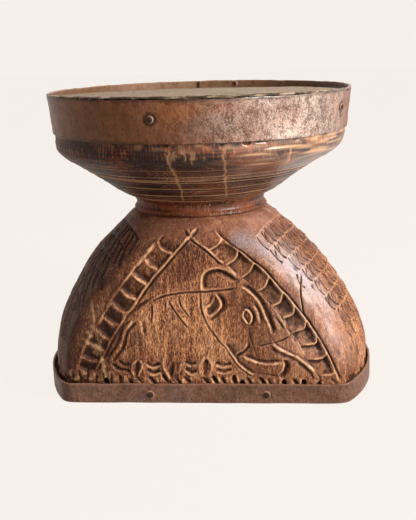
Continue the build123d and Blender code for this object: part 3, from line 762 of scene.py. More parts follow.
class BowlGrid(Grid):
    """Neck, bowl, the wood inside the band and the seat: their points, and what each is part of."""

    def __init__(self):
        turns = column_turns(168, 400, fine=1.2, coarse=1.8, fine_back=2.2)
        under = even(through(NECK_AND_BOWL), 0.9)
        outer = np.vstack([under, BEHIND_BAND])
        radius, height = outer[:, :1], outer[:, 1:]
        rings = np.concatenate([SEAT_LIP, np.linspace(171.5, 160, 9), np.linspace(157, 6, 50)])[:, None]
        worn_back = smooth(np.sin(turns), -0.3, 0.15)       # the lip over the iron has gone at the back
        rings = rings - (rings > SEAT_LIP[0] + 0.2) * worn_back * (rings - SEAT_LIP[0])
        seat_y = rings * np.sin(turns)
        top = np.stack([BOWL_AXIS_X + rings * np.cos(turns), seat_y, seat_height(seat_y)], axis=-1)
        edge_drop = np.array(SEAT_EDGE_DROP)[:, None]
        top[:len(SEAT_EDGE_DROP), :, 2] -= edge_drop * (1 - worn_back) + 0.4 * worn_back
        self.points = np.concatenate([round_the_drift(radius, height, turns), top])
        self.turn = np.broadcast_to(turns, self.points.shape[:2])
        self.bearing = np.degrees(self.turn)
        self.z = self.points[..., 2]
        self.out = np.concatenate([radius + 0 * turns, rings])
        self.under = np.zeros(self.z.shape)      # 1 on the neck and the bowl
        self.under[:len(under)] = 1
        self.seat = np.zeros(self.z.shape)       # 1 on the seat and its lip
        self.seat[len(outer):] = 1

    def blob(self, bearing, height, wide, high):
        """A soft round patch on the bowl: 1 in its middle."""
        return np.exp(-((self.bearing - bearing) / wide) ** 2 - ((self.z - height) / high) ** 2)


def turned_grooves(grid):
    """The grooves of the slope, and how bare the wood is on their lips."""
    cut = np.zeros(grid.z.shape)
    bare = np.zeros(grid.z.shape)
    for number, (ring, strength) in enumerate(BOWL_GROOVES):
        wander = 1.2 * noise(grid.points * (1, 1, 0), 60, 20 + number)
        away = np.abs(grid.out - ring - wander)
        patchy = np.clip(0.75 + 0.5 * grid.noise(26, 30 + number), 0.15, 1)
        lip = np.abs(grid.out - ring - wander - 2.4)
        cut += patchy * (0.5 * unit(1 - lip / 1.6) - 1.6 * strength * unit(1 - away / 2.0))
        bare += patchy * min(1, 1.2 * strength) * unit(1.3 - lip / 1.3)
    return cut * grid.under, bare * grid.under


def bowl_cracks(grid):
    """Long cracks, the short ones beside the first of them, and level scratches."""
    jagged = 1.3 * grid.noise((9, 9, 7), 41) + 1.1 * grid.noise(3.4, 40)
    relief = Relief(BOWL_STRETCH * grid.bearing + jagged, grid.z)
    for line in BOWL_CRACKS:
        relief.groove(on_bowl(line), half_width=1.25, depth=1.0, fade=8)
    for number in range(12):
        start, lean, length = chances([(number, part, 1) for part in (1, 2, 3)], 13)
        at = BOWL_STRETCH * (-95.5 + 1.05 * number + 0.5 * start)
        high, low = 293 + 5 * start, 284 + 8 * length
        line = ((at, high), (at + 0.7 * lean, (high + low) / 2), (at + 1.5 * lean, low))
        relief.groove(line, half_width=0.9, depth=0.7, fade=3)
    for line in BOWL_STREAKS:
        relief.groove(on_bowl(line), half_width=1.5, depth=0.9, fade=12)
    return relief.height() * grid.under


def rim_pits(grid):
    """Two holes in the wood just under the band."""
    relief = Relief(BOWL_STRETCH * grid.bearing, grid.z)
    for line, half_width, depth in RIM_PITS:
        relief.gouge(*on_bowl(line), half_width=half_width, depth=depth)
    return relief.height() * grid.under


def make_bowl(material):
    """Neck, bowl, the wood inside the rim band, and the seat."""
    grid = BowlGrid()
    grooves, bare_lips = turned_grooves(grid)
    cracks, pits = bowl_cracks(grid), rim_pits(grid)
    cut = grooves + 0.7 * cracks + pits
    # pale streaks on the bowl's right, where the window falls: worn wood with painted light
    rubbed = 0.9 * grid.under * grid.blob(-34, 285, 29, 15) * unit(0.4 + 1.3 * grid.noise((24, 24, 2.2), 39))
    chip_zone = smooth(grid.z, 292, 301) * grid.under * smooth(np.cos(grid.turn - radians(-40)), -0.2, 0.8)
    chips = -1.6 * chip_zone * unit(grid.noise((8, 8, 5), 42) - 0.1)
    bare = bare_lips + unit(-cracks) + rubbed + chip_zone * unit(grid.noise((9, 9, 4), 43) + 0.2)
    checks = seat_checks(grid) * grid.seat
    seat_edge = grid.seat * smooth(grid.out, 157, 167)
    edge_chips = -1.5 * seat_edge * unit(grid.noise(7, 46) + 0.1)
    wear = (0.9 * grid.noise(55, 44) + 0.35 * grid.noise(15, 45)) * (0.35 + 0.4 * grid.seat)
    turned = 0.25 * grid.noise((60, 60, 3.2), 47) * grid.under
    grain = 0.12 * grid.noise((1.8, 1.8, 24), 48) * (grid.under + 0.6 * grid.seat)
    shaped = cut + chips + checks + edge_chips
    height_field = shaped + wear * unit(grid.under + grid.seat) + turned + grain
    points = grid.points + outwards(grid.points) * height_field[..., None]

    edge, hollow = edge_and_hollow(shaped + 0.5 * grain)
    # darker on the lower slope of the bowl
    darker_low_slope = smooth(grid.z, 268, 255) * smooth(grid.z, 222, 230)
    stain_and_dark_slope = grid.under * (1.1 * grid.blob(-90, 284, 19, 13) + 0.6 * darker_low_slope)
    lip = smooth(grid.out, 170, 173) * (grid.under == 0)
    seat_dirt = seat_edge * unit(1.2 * grid.noise(9, 49))
    lip_dirt = lip * np.clip(0.5 + 0.9 * grid.noise(7, 50), 0.2, 1)
    # painted shade in the cove under the neck
    under_neck = 0.4 * smooth(grid.z, 216, 210) * smooth(grid.z, 204, 207)
    sunk = hollow + np.maximum(seat_dirt, lip_dirt) + 0.75 * stain_and_dark_slope + under_neck + unit(-pits)
    lit = smooth(from_glint(grid.turn), 0.5, 0.15)
    marks = {
        "edge": edge,
        "hollow": unit(sunk),
        "bare": unit(bare),
        "gloss": grid.under * lit * unit(1 - sunk) * (0.35 + 0.65 * smooth(grid.z, 216, 235)),
        "seat": grid.seat,
        "collar": grid.under * smooth(grid.z, 224, 216) * unit(0.7 + 0.8 * grid.noise((16, 16, 3), 38)),
    }
    return skin("turned_bowl", points, material, marks)


def seat_checks(grid):
    """Drying cracks in the end grain: thin, running out from the middle."""
    x, y = grid.points[..., 0] - BOWL_AXIS_X, grid.points[..., 1]
    out, turn = np.hypot(x, y), np.degrees(np.arctan2(y, x))
    depth = np.zeros(out.shape)
    for bearing, start, end, half_width in SEAT_CHECKS:
        wander = 3.0 * grid.noise(30, bearing + 500)
        away = np.abs((turn - bearing + 180) % 360 - 180)
        across = np.abs(np.radians(away) * out * np.sign(turn - bearing) + wander)
        across = np.where(away < 60, across, 99)
        length = smooth(out, start, start + 15) * smooth(out, end, end - 25)
        depth = np.minimum(depth, -2.2 * length * unit(1 - across / half_width))
    return depth


# ---------------------------------------------------------------- iron bands
def strip_loops(path, out, wall, low, high, rows):
    """Closed sections along a level path: up the outer face, over the top, and down the inner face."""
    share = np.linspace(0, 1, rows)
    rim = 0.25
    heights = low[:, None] + (high - low)[:, None] * share
    loops = []
    faces = (
        (wall / 2, heights),
        (wall / 2 - rim, (high + rim)[:, None]),
        (rim - wall / 2, (high + rim)[:, None]),
        (-wall / 2, heights[:, ::-1]),
        (rim - wall / 2, (low - rim)[:, None]),
        (wall / 2 - rim, (low - rim)[:, None]),
    )
    for offset, levels in faces:
        spot = path[:, None, :] + out[:, None, :] * offset
        spot = np.broadcast_to(spot, (*levels.shape, 2))
        loops.append(np.concatenate([spot, levels[..., None]], axis=-1))
    return np.concatenate(loops, axis=1)


def strip_rims(shape, rows):
    """1 along the edges of a strip, 0 on its faces."""
    rims = np.zeros(shape)
    rims[:, [0, rows - 1, rows, rows + 1, rows + 2, 2 * rows + 1]] = 1
    return rims


def make_rim_band(material):
    """The tapered hoop: it starts at the seam and goes clockwise, and its outer end laps the inner one."""
    rows = 30
    travelled = np.radians(np.arange(0, 360 + BAND_LAP, 0.52))
    step = LAP_STEP * smooth(np.degrees(travelled), 360 - BAND_STEP, 360)
    turn = radians(BAND_SEAM) - travelled
    radius = BAND_RADIUS - (BAND_TAPER + BAND_WALL) / 2 + step
    out = np.stack([np.cos(turn), np.sin(turn)], axis=-1)
    path = out * radius[:, None] + (BOWL_AXIS_X, 0)
    ring = np.stack([path[:, 0], path[:, 1], 0 * turn], axis=-1)
    high = BAND_TOP - 0.35 + 0.45 * noise(ring, 34, 51) + 0.35 * noise(ring, 9, 52)
    high = high - 0.5 * smooth(-np.sin(turn), -0.1, 0.3)
    low = BAND_TOP - BAND_HEIGHT + 0.25 + 0.6 * noise(ring, 30, 53) + 0.3 * noise(ring, 8, 54)
    loops = strip_loops(path, out, BAND_WALL, low, high, rows)
    middle = BAND_TOP - BAND_HEIGHT / 2
    outward = np.concatenate([out, 0 * out[:, :1]], axis=-1)[:, None, :]
    lean = (loops[..., 2:] - middle) * tan(BAND_LEAN)
    loops = loops + outward * lean
    dents = -0.55 * unit(noise(loops, 11, 55) + 0.1) + 0.16 * noise(loops, 4.5, 56)
    pits = -0.5 * unit(noise(loops, 3.4, 57) - 0.62) / 0.38
    bow = 0.35 * noise(loops, (70, 70, 25), 58)
    dished = np.zeros(loops.shape[:2])
    nail_shadow_ring = np.zeros(loops.shape[:2])
    nail_radius = BAND_RADIUS - 2
    for bearing in RIM_NAILS.values():
        nail_turn = radians(bearing)
        x, y = BOWL_AXIS_X + nail_radius * cos(nail_turn), nail_radius * sin(nail_turn)
        spot = np.array([x, y, BAND_TOP - RIM_NAIL_DROP])
        away = np.linalg.norm(loops - spot, axis=-1)
        dished -= 0.9 * np.exp(-(away / 9) ** 2)
        # a painted shadow ring round each nail
        nail_shadow_ring += smooth(away, 8.5, 6.0)
    height_field = (dents + pits + bow + dished)[..., None]
    height_field = np.where(step[:, None, None] > 0.1, height_field * 0.5, height_field)
    points = loops + outward * height_field
    edge, hollow = edge_and_hollow(height_field[..., 0])
    frontness = smooth(-np.sin(turn), 0.0, 0.4)[:, None]
    rims = strip_rims(edge.shape, rows)
    facing = from_glint(turn)[:, None]
    wear = unit(0.75 + 0.5 * noise(loops, (30, 30, 22), 59))
    outside = np.arange(edge.shape[1]) < rows
    # pale where the iron faces the window: a painted highlight, over a glossier coat
    gloss = smooth(facing, 0.38, 0.04) * wear * outside
    level = loops[..., 2]
    bottom = BAND_TOP - BAND_HEIGHT
    upper_front = smooth(level, BAND_TOP - 5, BAND_TOP - 1) * frontness
    # darker along the top of the front, under the seat's lip: grime, with a painted shadow
    grime_and_shade = upper_front * unit(0.9 + 1.2 * noise(loops, (14, 14, 6), 60))
    degrees_round = np.degrees(turn)[:, None] % 360 - 360
    rust = 0.5 * np.exp(-((degrees_round + 92) / 7) ** 2 - ((level - BAND_TOP + 13) / 8) ** 2)
    rust += 0.35 * np.exp(-((degrees_round + 78) / 9) ** 2 - ((level - BAND_TOP + 8) / 6) ** 2)
    # painted shadow along the bottom edge, on the side away from the window
    lower_left_shadow = smooth(level, bottom + 5, bottom + 1) * (1 - smooth(facing, 0.55, 0.3))
    marks = {
        "edge": unit(edge + rims * (1 - frontness)),
        "hollow": unit(hollow + grime_and_shade + (nail_shadow_ring + 0.8 * lower_left_shadow) * outside),
        "gloss": gloss,
        "rust": rust * outside,
        "inside": np.broadcast_to(1.0 - outside, edge.shape),
        # a painted shade tone on the side turned from the window
        "shaded_side": np.broadcast_to(smooth(facing, 0.2, 0.5), edge.shape),
    }
    return skin("iron_rim_band", points, material, marks)


def strap_path():
    """Middle line of the foot strap, and its outward direction, from the seam at the back."""
    half = STRAP_FRONT - STRAP_WALL / 2
    side = STRAP_SIDE_RADIUS - STRAP_WALL / 2
    corner = STRAP_CORNER - STRAP_WALL / 2
    centre_y = half - corner
    centre_x = sqrt((side - corner) ** 2 - centre_y**2)
    meet = atan2(centre_y, centre_x)

    def line(start, end, facing):
        """Places along a flat, and the way it faces."""
        count = max(2, int(abs(end - start) / 2.0))
        x = np.linspace(start, end, count, endpoint=False)
        return [((value, facing * half), (0, facing)) for value in x]

    def arc(centre, radius, start, sweep):
        """Places along an arc, each with the way it faces."""
        count = max(4, int(abs(sweep) * radius / 2.0))
        turns = start + sweep * np.arange(count) / count
        ways = [(cos(turn), sin(turn)) for turn in turns]
        return [((centre[0] + radius * x, centre[1] + radius * y), (x, y)) for x, y in ways]

    stations = [
        *line(STRAP_SEAM_X, centre_x, 1),
        *arc((centre_x, centre_y), corner, pi / 2, meet - pi / 2),
        *arc((0, 0), side, meet, -2 * meet),
        *arc((centre_x, -centre_y), corner, -meet, meet - pi / 2),
        *line(centre_x, -centre_x, -1),
        *arc((-centre_x, -centre_y), corner, -pi / 2, meet - pi / 2),
        *arc((0, 0), side, meet - pi, -2 * meet),
        *arc((-centre_x, centre_y), corner, pi - meet, meet - pi / 2),
        *line(-centre_x, STRAP_SEAM_X + STRAP_LAP, 1),
    ]
    path = np.array([place for place, _ in stations])
    out = np.array([facing for _, facing in stations])
    last_run = (np.arange(len(path)) > len(path) / 2) & (path[:, 1] > half - 0.01)
    step = STRAP_LAP_STEP * smooth(path[:, 0], STRAP_SEAM_X - STRAP_STEP, STRAP_SEAM_X)
    path = path + out * (step * last_run)[:, None]
    return path, out


def make_foot_strap(material):
    """The strap round the foot, a little uneven along its edges."""
    rows = 14
    path, out = strap_path()
    ring = np.stack([path[:, 0], path[:, 1], 0 * path[:, 0]], axis=-1)
    high = STRAP_LIFT + STRAP_HEIGHT - 0.3 + 0.5 * noise(ring, 28, 61) + 0.3 * noise(ring, 7, 62)
    low = STRAP_LIFT + 0.3 + 0.25 * noise(ring, 22, 63)
    loops = strip_loops(path, out, STRAP_WALL, low, high, rows)
    outward = np.concatenate([out, 0 * out[:, :1]], axis=-1)[:, None, :]
    dents = -0.4 * unit(noise(loops, 12, 64)) + 0.13 * noise(loops, 4.5, 65)
    points = loops + outward * dents[..., None]
    edge, hollow = edge_and_hollow(dents)
    marks = {"edge": unit(edge + 0.8 * strip_rims(edge.shape, rows)), "hollow": hollow}
    return skin("iron_foot_strap", points, material, marks)


# ---------------------------------------------------------------- nails and rivets
def rim_place(bearing, drop, proud=0.0):
    """A place on the outside of the rim band, and the way it faces."""
    turn = radians(bearing)
    radius = BAND_RADIUS - drop * tan(BAND_LEAN) + proud
    spot = Vector((BOWL_AXIS_X + radius * cos(turn), radius * sin(turn), BAND_TOP - drop))
    return spot, Vector((cos(turn) * cos(BAND_LEAN), sin(turn) * cos(BAND_LEAN), -sin(BAND_LEAN)))


def make_head(name, material, spot, facing, diameter, rise, tail, seed, far_head):
    """A hammered head with its shank; the far end of a rivet has a head too."""
    half = diameter / 2
    shank = 1.8
    dome = [(half * s, rise * (1 - s**2) ** 0.6) for s in (0.12, 0.3, 0.5, 0.68, 0.82, 0.92, 0.98)]
    rings = [*dome, (half, 0.25), (half * 0.96, -0.2), (shank, -0.3), (shank, -tail)]
    if far_head:
        far = -tail - 0.1
        rings += [(half, far), *[(across, far - up) for across, up in reversed(dome)]]
    rings = np.array(rings)
    turns = np.arange(36) * 2 * pi / 36
    radius, height = rings[:, :1], rings[:, 1:]
    loops = np.stack([radius * np.cos(turns), radius * np.sin(turns), height + 0 * turns], axis=-1)
    lumps = 0.28 * noise(loops + 50 * seed, 3.2, seed) + 0.12 * noise(loops, 1.5, seed + 1)
    loops[..., 2] += lumps * (np.hypot(loops[..., 0], loops[..., 1]) > shank * 0.5)
    loops[..., :2] *= (1 + 0.05 * noise(loops + 20, 4, seed + 2))[..., None]
    turn_to = facing.to_track_quat("Z", "Y").to_matrix()
    points = loops @ np.array(turn_to).T + np.array(spot)
    from_middle = np.hypot(loops[..., 0], loops[..., 1]) / half
    marks = {"edge": smooth(from_middle, 0.7, 0.9), "hollow": smooth(from_middle, 0.85, 0.6)}
    return skin(name, points, material, marks)


def make_fixings(material):
    """Every nail and rivet, each standing for its own node."""
    made = {}
    for number, (side, bearing) in enumerate(RIM_NAILS.items()):
        spot, facing = rim_place(bearing, RIM_NAIL_DROP)
        made[f"rim_nail_{side}"] = (spot - 0.6 * facing, facing, *RIM_NAIL_SIZE, 70 + number, False)
    for number, (level, drop) in enumerate(RIM_RIVETS.items()):
        spot, facing = rim_place(RIM_RIVET_BEARING, drop, LAP_STEP)
        made[f"rim_rivet_{level}"] = (spot, facing, *RIM_RIVET_SIZE, 80 + number, True)
    places = [(f"strap_nail_{side}", x, -STRAP_FRONT) for side, x in STRAP_NAILS.items()]
    places += [(f"strap_lap_nail_{side}", x, STRAP_FRONT + STRAP_LAP_STEP)
               for side, x in STRAP_LAP_NAILS.items()]
    for number, (name, x, y) in enumerate(places):
        facing = Vector((0, 1 if y > 0 else -1, 0))
        made[name] = (Vector((x, y, STRAP_NAIL_HEIGHT)), facing, *STRAP_NAIL_SIZE, 90 + number, False)
    for name, facts in made.items():
        piece = make_head(f"{name}_head", material, *facts)
        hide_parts(name)


# ---------------------------------------------------------------- materials
class Shader:
    """A material's nodes, added and joined by name."""

    def __init__(self, name):
        self.material = bpy.data.materials.new(name)
        self.material.use_nodes = True
        self.tree = self.material.node_tree
        self.surface = self.tree.nodes["Principled BSDF"]
        self.colour = None

    def add(self, kind, wanted=None, **inputs):
        """A node; inputs are numbers, colours or other nodes' outputs, by socket name or number."""
        node = self.tree.nodes.new(kind)
        for key, value in (wanted or {}).items():
            setattr(node, key, value)
        for key, value in inputs.items():
            socket = node.inputs[int(key[1:])] if key[1:].isdigit() else node.inputs[key.replace("_", " ")]
            self.give(socket, value)
        return node

    def give(self, socket, value):
        """Join a node or one of its outputs to a socket, or set the socket's own value."""
        if isinstance(value, bpy.types.NodeSocket):
            self.tree.links.new(value, socket)
        elif isinstance(value, bpy.types.Node):
            self.tree.links.new(value.outputs[0], socket)
        else:
            socket.default_value = value

    def mark(self, name):
        """A mesh's mark, from 0 to 1."""
        return self.add("ShaderNodeAttribute", {"attribute_name": name}).outputs["Fac"]

    def place(self, scale):
        """Object coordinates in metres, stretched."""
        coordinates = self.add("ShaderNodeTexCoord").outputs["Object"]
        return self.add("ShaderNodeVectorMath", {"operation": "MULTIPLY"}, i0=coordinates, i1=scale)

    def noise(self, scale, size=1.0, detail=3.0, roughness=0.55):
        """Noise of a given number of lumps to the metre along each axis."""
        node = self.add("ShaderNodeTexNoise", None, Vector=self.place(scale), Scale=size, Detail=detail,
                        Roughness=roughness)
        return node.outputs[0]

    def range(self, value, low, high, to_low=0.0, to_high=1.0):
        """The value, from the first range to the second with an easy curve."""
        node = self.add("ShaderNodeMapRange", {"interpolation_type": "SMOOTHSTEP"}, Value=value, From_Min=low,
                        From_Max=high, To_Min=to_low, To_Max=to_high)
        return node.outputs[0]

    def math(self, operation, first, second, clamp=True):
        """A sum of two values, held between 0 and 1 unless told otherwise."""
        wanted = {"operation": operation, "use_clamp": clamp}
        return self.add("ShaderNodeMath", wanted, i0=first, i1=second).outputs[0]

    def times(self, first, second):
        """Two values multiplied."""
        return self.math("MULTIPLY", first, second)

    def plus(self, first, second):
        """Two values added."""
        return self.math("ADD", first, second)

    def mix(self, share, first, second):
        """The first colour, with a share of the second one."""
        node = self.add("ShaderNodeMix", {"data_type": "RGBA"}, i0=share, i6=first, i7=second)
        return node.outputs[2]

    def tint(self, colour, *shares):
        """Lay a colour over what is there, by the product of the shares."""
        share = shares[0]
        for factor in shares[1:]:
            share = self.times(share, factor)
        self.colour = self.mix(share, self.colour, colour)

    def ramp(self, value, *stops):
        """Colours by value: stops are (place, colour)."""
        node = self.add("ShaderNodeValToRGB", None, Fac=value)
        elements = node.color_ramp.elements
        while len(elements) < len(stops):
            elements.new(0.5)
        for element, (place, colour) in zip(elements, stops):
            element.position = place
            element.color = colour
        return node.outputs[0]

    def bump(self, height, strength, distance):
        """A surface direction disturbed by a height."""
        node = self.add("ShaderNodeBump", None, Strength=strength, Distance=distance, Height=height)
        return node.outputs[0]

    def settings(self, **values):
        """Numbers, colours or other nodes' outputs for the surface, by socket name."""
        for name, value in values.items():
            self.give(self.surface.inputs[name.replace("_", " ")], value)

    def finish(self, roughness, normal):
        """The material, with the colour laid down so far."""
        self.settings(Base_Color=self.colour, Roughness=roughness, Normal=normal)
        return self.material


def rgb(red, green, blue):
    """A colour as screen values from 0 to 255, in linear light."""
    screen = [value / 255 for value in (red, green, blue)]
    linear = [v / 12.92 if v <= 0.04 else ((v + 0.055) / 1.055) ** 2.4 for v in screen]
    return (*linear, 1.0)


def carved_wood():
    """Old hardwood: orange-brown, with dark upright pores, dark in the cuts, pale worn edges, and painted
    shade and sheen.
    """
    s = Shader("carved_wood")
    streaks = s.noise((900, 900, 230), detail=4, roughness=0.7)
    long_grain = s.noise((228, 228, 17), detail=3)
    clouds = s.noise((22, 22, 13), detail=3)
    patches = s.noise((46, 46, 30), detail=4, roughness=0.62)
    specks = s.noise((800, 800, 330), detail=2)
    ridge, age_and_lit_side = s.mark("ridge"), s.mark("age_and_lit_side")
    level = s.plus(s.times(streaks, 0.7), s.times(long_grain, 0.3))
    level = s.math("SUBTRACT", level, s.times(age_and_lit_side, 0.04), clamp=False)
    level = s.plus(level, s.range(clouds, 0.38, 0.66, 0.01, 0.06))
    s.colour = s.ramp(level, (0.42, rgb(64, 34, 25)), (0.485, rgb(138, 84, 58)),
                      (0.54, rgb(196, 131, 89)), (0.62, rgb(234, 178, 132)))
    s.tint(rgb(62, 44, 42), s.range(patches, 0.54, 0.66), s.plus(0.35, s.times(age_and_lit_side, 0.4)))
    s.tint(rgb(46, 25, 19), s.range(specks, 0.57, 0.65), 0.62)
    nicks = s.range(s.noise((170, 170, 1000), detail=2), 0.6, 0.68)
    s.tint(rgb(58, 32, 23), nicks, 0.45)
    # darker over the left of the front, which is painted shade, and in dark patches high on the sides
    s.tint(rgb(70, 42, 34), s.mark("grime_and_shade"), s.range(streaks, 0.42, 0.56, 0.85, 0.5))
    # the polished corners, paler: a painted highlight
    s.tint(rgb(160, 112, 92), ridge, 0.45)
    s.tint(rgb(190, 128, 102), s.mark("flange"), s.range(streaks, 0.42, 0.56, 0.2, 0.7))
    # painted sheen: a pale bluish reflection painted along the ridge
    s.tint(rgb(208, 198, 202), s.mark("painted_sheen"), s.range(streaks, 0.42, 0.54, 0.3, 0.85))
    # darker with age, but not on the lit right side: partly painted light
    s.tint(rgb(104, 64, 46), age_and_lit_side, 0.25)
    s.tint(rgb(104, 66, 46), s.mark("shade"))
    # dark in the cuts: patina, with painted shade on the sides and the dim left
    s.tint(rgb(44, 23, 15), s.range(s.mark("hollow"), 0.1, 0.8), 0.85)
    rubbed = s.range(s.noise((230, 230, 120)), 0.3, 0.56, 0.3, 0.95)
    s.tint(rgb(222, 168, 124), s.range(s.mark("edge"), 0.15, 0.75), rubbed)
    s.tint(rgb(190, 150, 108), s.mark("pale"), s.range(streaks, 0.42, 0.54, 0.3, 0.9))
    rough = s.range(s.noise((160, 160, 60)), 0.3, 0.7, 0.46, 0.66)
    shine = s.times(ridge, s.range(patches, 0.62, 0.42, 0.35, 0.85))
    coat = s.plus(shine, s.times(s.mark("edge"), 0.25))
    s.settings(Specular_IOR_Level=0.16, Coat_Weight=coat, Coat_Roughness=0.5, Coat_IOR=1.9)
    return s.finish(rough, s.bump(level, 0.7, 0.0007))


def turned_wood():
    """The bowl: dark, red and waxed, with pale scratches; its top is bare grey-tan end grain."""
    s = Shader("turned_wood")
    streaks = s.noise((520, 520, 90), detail=4, roughness=0.66)
    clouds = s.noise((22, 22, 40), detail=3)
    hoops = s.noise((14, 14, 420), detail=4, roughness=0.6)
    s.colour = s.ramp(streaks, (0.42, rgb(20, 9, 8)), (0.485, rgb(58, 28, 19)),
                      (0.55, rgb(104, 57, 37)), (0.62, rgb(186, 122, 82)))
    s.tint(rgb(36, 18, 15), s.range(hoops, 0.50, 0.58), 0.8)
    s.tint(rgb(176, 106, 68), s.range(hoops, 0.45, 0.38), 0.35)
    s.tint(rgb(142, 68, 36), s.range(clouds, 0.50, 0.62), 0.5)
    s.tint(rgb(44, 28, 27), s.range(clouds, 0.47, 0.38), 0.65)
    scratch_zone = s.range(s.noise((17, 17, 17)), 0.50, 0.60)
    scratches = s.range(s.noise((420, 420, 60), detail=2), 0.54, 0.60)
    s.tint(rgb(184, 142, 106), scratches, scratch_zone, 0.75)
    s.tint(rgb(30, 16, 11), s.range(s.mark("hollow"), 0.15, 0.9), 0.9)
    s.tint(rgb(186, 132, 94), s.range(s.mark("edge"), 0.2, 0.9), 0.5)
    s.tint(rgb(222, 172, 130), s.mark("bare"), 0.9)
    s.tint(rgb(158, 88, 56), s.mark("collar"), 0.55)
    speckle = s.noise((900, 900, 900), detail=2)
    rings = s.noise((190, 190, 190), detail=5, roughness=0.72)
    waxed = s.colour
    s.colour = s.ramp(rings, (0.38, rgb(134, 112, 91)), (0.5, rgb(168, 145, 122)), (0.62, rgb(194, 169, 145)))
    s.tint(rgb(84, 62, 46), s.range(speckle, 0.55, 0.7), 0.5)
    s.tint(rgb(40, 27, 19), s.range(s.mark("hollow"), 0.15, 0.9), 0.85)
    s.colour = s.mix(s.mark("seat"), waxed, s.colour)
    rough = s.range(s.mark("seat"), 0, 1, 0.5, 0.75)
    s.settings(Specular_IOR_Level=0.16, Coat_Weight=s.mark("gloss"), Coat_Roughness=0.3, Coat_IOR=1.7)
    return s.finish(rough, s.bump(s.mix(s.mark("seat"), streaks, speckle), 0.6, 0.0007))


def rusty_iron(name, dark, middle, light, orange, worn, rough_low, rough_high):
    """Hand-beaten iron under a brown skin of rust and handling, with a painted highlight facing the window
    and a painted shade tone on its far side.
    """
    s = Shader(name)
    specks = s.noise((820, 820, 700), detail=2, roughness=0.6)
    flecks = s.noise((330, 330, 240), detail=3, roughness=0.6)
    blots = s.noise((80, 80, 80), detail=5, roughness=0.66)
    clouds = s.noise((20, 20, 34), detail=3)
    level = s.plus(s.plus(s.times(specks, 0.38), s.times(flecks, 0.27)), s.times(blots, 0.35))
    s.colour = s.ramp(level, (0.40, dark), (0.50, middle), (0.60, light))
    s.tint(dark, s.range(blots, 0.55, 0.66), 0.55)
    s.tint(rgb(40, 27, 25), s.range(flecks, 0.63, 0.70), 0.7)
    s.tint(rgb(160, 92, 54), s.range(clouds, 0.54, 0.66), orange)
    s.tint(rgb(98, 84, 84), s.range(clouds, 0.46, 0.34), 0.35)
    s.tint(dark, s.range(s.noise((9, 9, 20), detail=4), 0.46, 0.58), 0.32)
    # painted shade tone on the side away from the window
    s.tint(rgb(146, 86, 42), s.mark("shaded_side"), 0.5)
    # the painted highlight where the band faces the window
    s.tint(rgb(228, 208, 196), s.mark("gloss"), s.range(level, 0.44, 0.56, 0.1, 0.85))
    s.tint(rgb(176, 104, 54), s.mark("rust"), s.range(flecks, 0.4, 0.56, 0.4, 1.0))
    s.tint(rgb(104, 86, 68), s.mark("inside"), 0.6)
    s.tint(rgb(190, 146, 118), s.mark("edge"), worn)
    s.tint(rgb(40, 24, 18), s.mark("hollow"), 0.75)
    rough = s.range(level, 0.42, 0.58, rough_low, rough_high)
    s.settings(Metallic=0.1, Specular_IOR_Level=0.2, Coat_Weight=s.mark("gloss"), Coat_Roughness=0.3,
               Coat_IOR=1.8, Coat_Normal=s.bump(level, 0.5, 0.0005))
    return s.finish(rough, s.bump(level, 0.9, 0.0009))


# ---------------------------------------------------------------- the stool
wood = make_foot(carved_wood())
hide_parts("stool_block")
bowl = make_bowl(turned_wood())
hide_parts("stool_block")

rim_iron = rusty_iron("rim_iron", rgb(72, 42, 28), rgb(130, 84, 60), rgb(188, 138, 108), orange=0.45,
                      worn=0.3, rough_low=0.3, rough_high=0.5)
strap_iron = rusty_iron("strap_iron", rgb(78, 52, 41), rgb(126, 90, 73), rgb(164, 122, 102), orange=0.25,
                        worn=0.3, rough_low=0.4, rough_high=0.6)
nail_iron = rusty_iron("nail_iron", rgb(66, 44, 36), rgb(96, 66, 52), rgb(140, 96, 70), orange=0.3,
                       worn=0.6, rough_low=0.45, rough_high=0.65)
band = make_rim_band(rim_iron)
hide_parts("rim_band")
strap = make_foot_strap(strap_iron)
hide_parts("foot_strap")
make_fixings(nail_iron)


# ---------------------------------------------------------------- floor, lights and camera
PAPER = rgb(247, 240, 234)


def camera_sees(tree, low, high):
    """High where a ray comes straight from the camera, a reflection or a clear material, else low."""
    path = tree.nodes.new("ShaderNodeLightPath")
    seen = path.outputs["Is Camera Ray"]
    for kind in ("Is Glossy Ray", "Is Transmission Ray"):
        either = tree.nodes.new("ShaderNodeMath")
        either.operation = "MAXIMUM"
        tree.links.new(seen, either.inputs[0])
        tree.links.new(path.outputs[kind], either.inputs[1])
        seen = either.outputs[0]
    level = tree.nodes.new("ShaderNodeMapRange")
    level.inputs["To Min"].default_value = low
    level.inputs["To Max"].default_value = high
    tree.links.new(seen, level.inputs["Value"])
    return level.outputs[0]


def make_world():
    """A plain pale room: paper white where it is seen, dimmer as a light."""
    world = bpy.data.worlds.new("room")
    bpy.context.scene.world = world
    world.use_nodes = True
    tree = world.node_tree
    background = tree.nodes["Background"]
    background.inputs["Color"].default_value = PAPER
    tree.links.new(camera_sees(tree, 0.07, 1.0), background.inputs["Strength"])


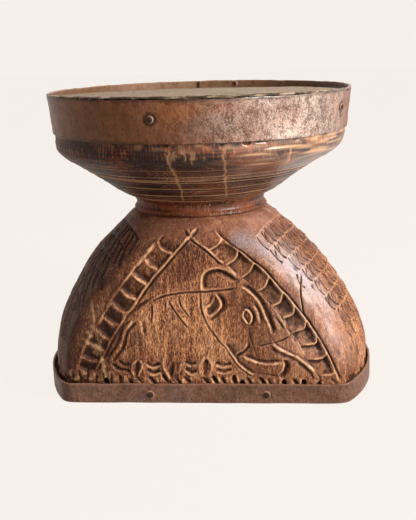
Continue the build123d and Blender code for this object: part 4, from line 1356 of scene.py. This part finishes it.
def make_floor():
    """A wide pale floor; most of its look is its own colour, so that it meets the room without a line."""
    half = 9.0                   # metres
    mesh = bpy.data.meshes.new("floor")
    corners = [(-half, -half, 0), (half, -half, 0), (half, half, 0), (-half, half, 0)]
    mesh.from_pydata(corners, [], [(0, 1, 2, 3)])
    floor = bpy.data.objects.new("floor", mesh)
    bpy.context.scene.collection.objects.link(floor)
    material = bpy.data.materials.new("floor")
    material.use_nodes = True
    tree = material.node_tree
    nodes, links = tree.nodes, tree.links
    nodes.remove(nodes["Principled BSDF"])
    diffuse = nodes.new("ShaderNodeBsdfDiffuse")
    diffuse.inputs["Color"].default_value = rgb(178, 171, 165)
    glow = nodes.new("ShaderNodeEmission")
    glow.inputs["Color"].default_value = rgb(254, 247, 241)
    blend = nodes.new("ShaderNodeMixShader")
    links.new(camera_sees(tree, 0.0, 0.92), blend.inputs[0])
    links.new(diffuse.outputs[0], blend.inputs[1])
    links.new(glow.outputs[0], blend.inputs[2])
    links.new(blend.outputs[0], nodes["Material Output"].inputs["Surface"])
    mesh.materials.append(material)


LIT_MIDDLE = Vector((0, 0, 0.18))        # metres; the lights face it
FOCAL = 863.45               # pixels
PICTURE_HEIGHT = 520         # pixels
CAMERA_PLACE = (0.0859, -1.01785, 0.40436)           # metres
PAN, TILT, ROLL = radians(4.846), radians(90 - 14.534), radians(-1.707)


def make_light(name, bearing, elevation, distance, size, power, colour):
    """A soft rectangular light that faces the middle of the stool; bearing in degrees from +X."""
    lamp = bpy.data.lights.new(name, "AREA")
    lamp.shape = "RECTANGLE"
    lamp.size, lamp.size_y = size
    lamp.energy = power
    lamp.color = colour
    light = bpy.data.objects.new(name, lamp)
    bpy.context.scene.collection.objects.link(light)
    turn, up = radians(bearing), radians(elevation)
    light.location = LIT_MIDDLE + distance * Vector((cos(turn) * cos(up), sin(turn) * cos(up), sin(up)))
    light.rotation_euler = (light.location - LIT_MIDDLE).to_track_quat("Z", "Y").to_euler()


def make_camera():
    """The photograph's view, for a picture of 416 by 520 pixels."""
    lens = bpy.data.cameras.new("camera")
    lens.sensor_width = 36.0
    lens.lens = FOCAL * lens.sensor_width / PICTURE_HEIGHT
    camera = bpy.data.objects.new("camera", lens)
    bpy.context.scene.collection.objects.link(camera)
    turn = Matrix.Rotation(PAN, 4, "Z") @ Matrix.Rotation(TILT, 4, "X") @ Matrix.Rotation(ROLL, 4, "Z")
    camera.matrix_world = Matrix.Translation(CAMERA_PLACE) @ turn
    bpy.context.scene.camera = camera


make_world()
make_floor()
make_light("window", -32, 27, 1.9, (0.6, 1.5), 57, (1.0, 0.97, 0.94))
make_light("front_fill", -115, 30, 2.2, (1.6, 1.2), 2, (1.0, 0.98, 0.96))
make_light("back_fill", 80, 35, 2.2, (1.2, 1.0), 14, (1.0, 0.98, 0.96))
make_camera()
bpy.context.scene.view_settings.view_transform = "Standard"
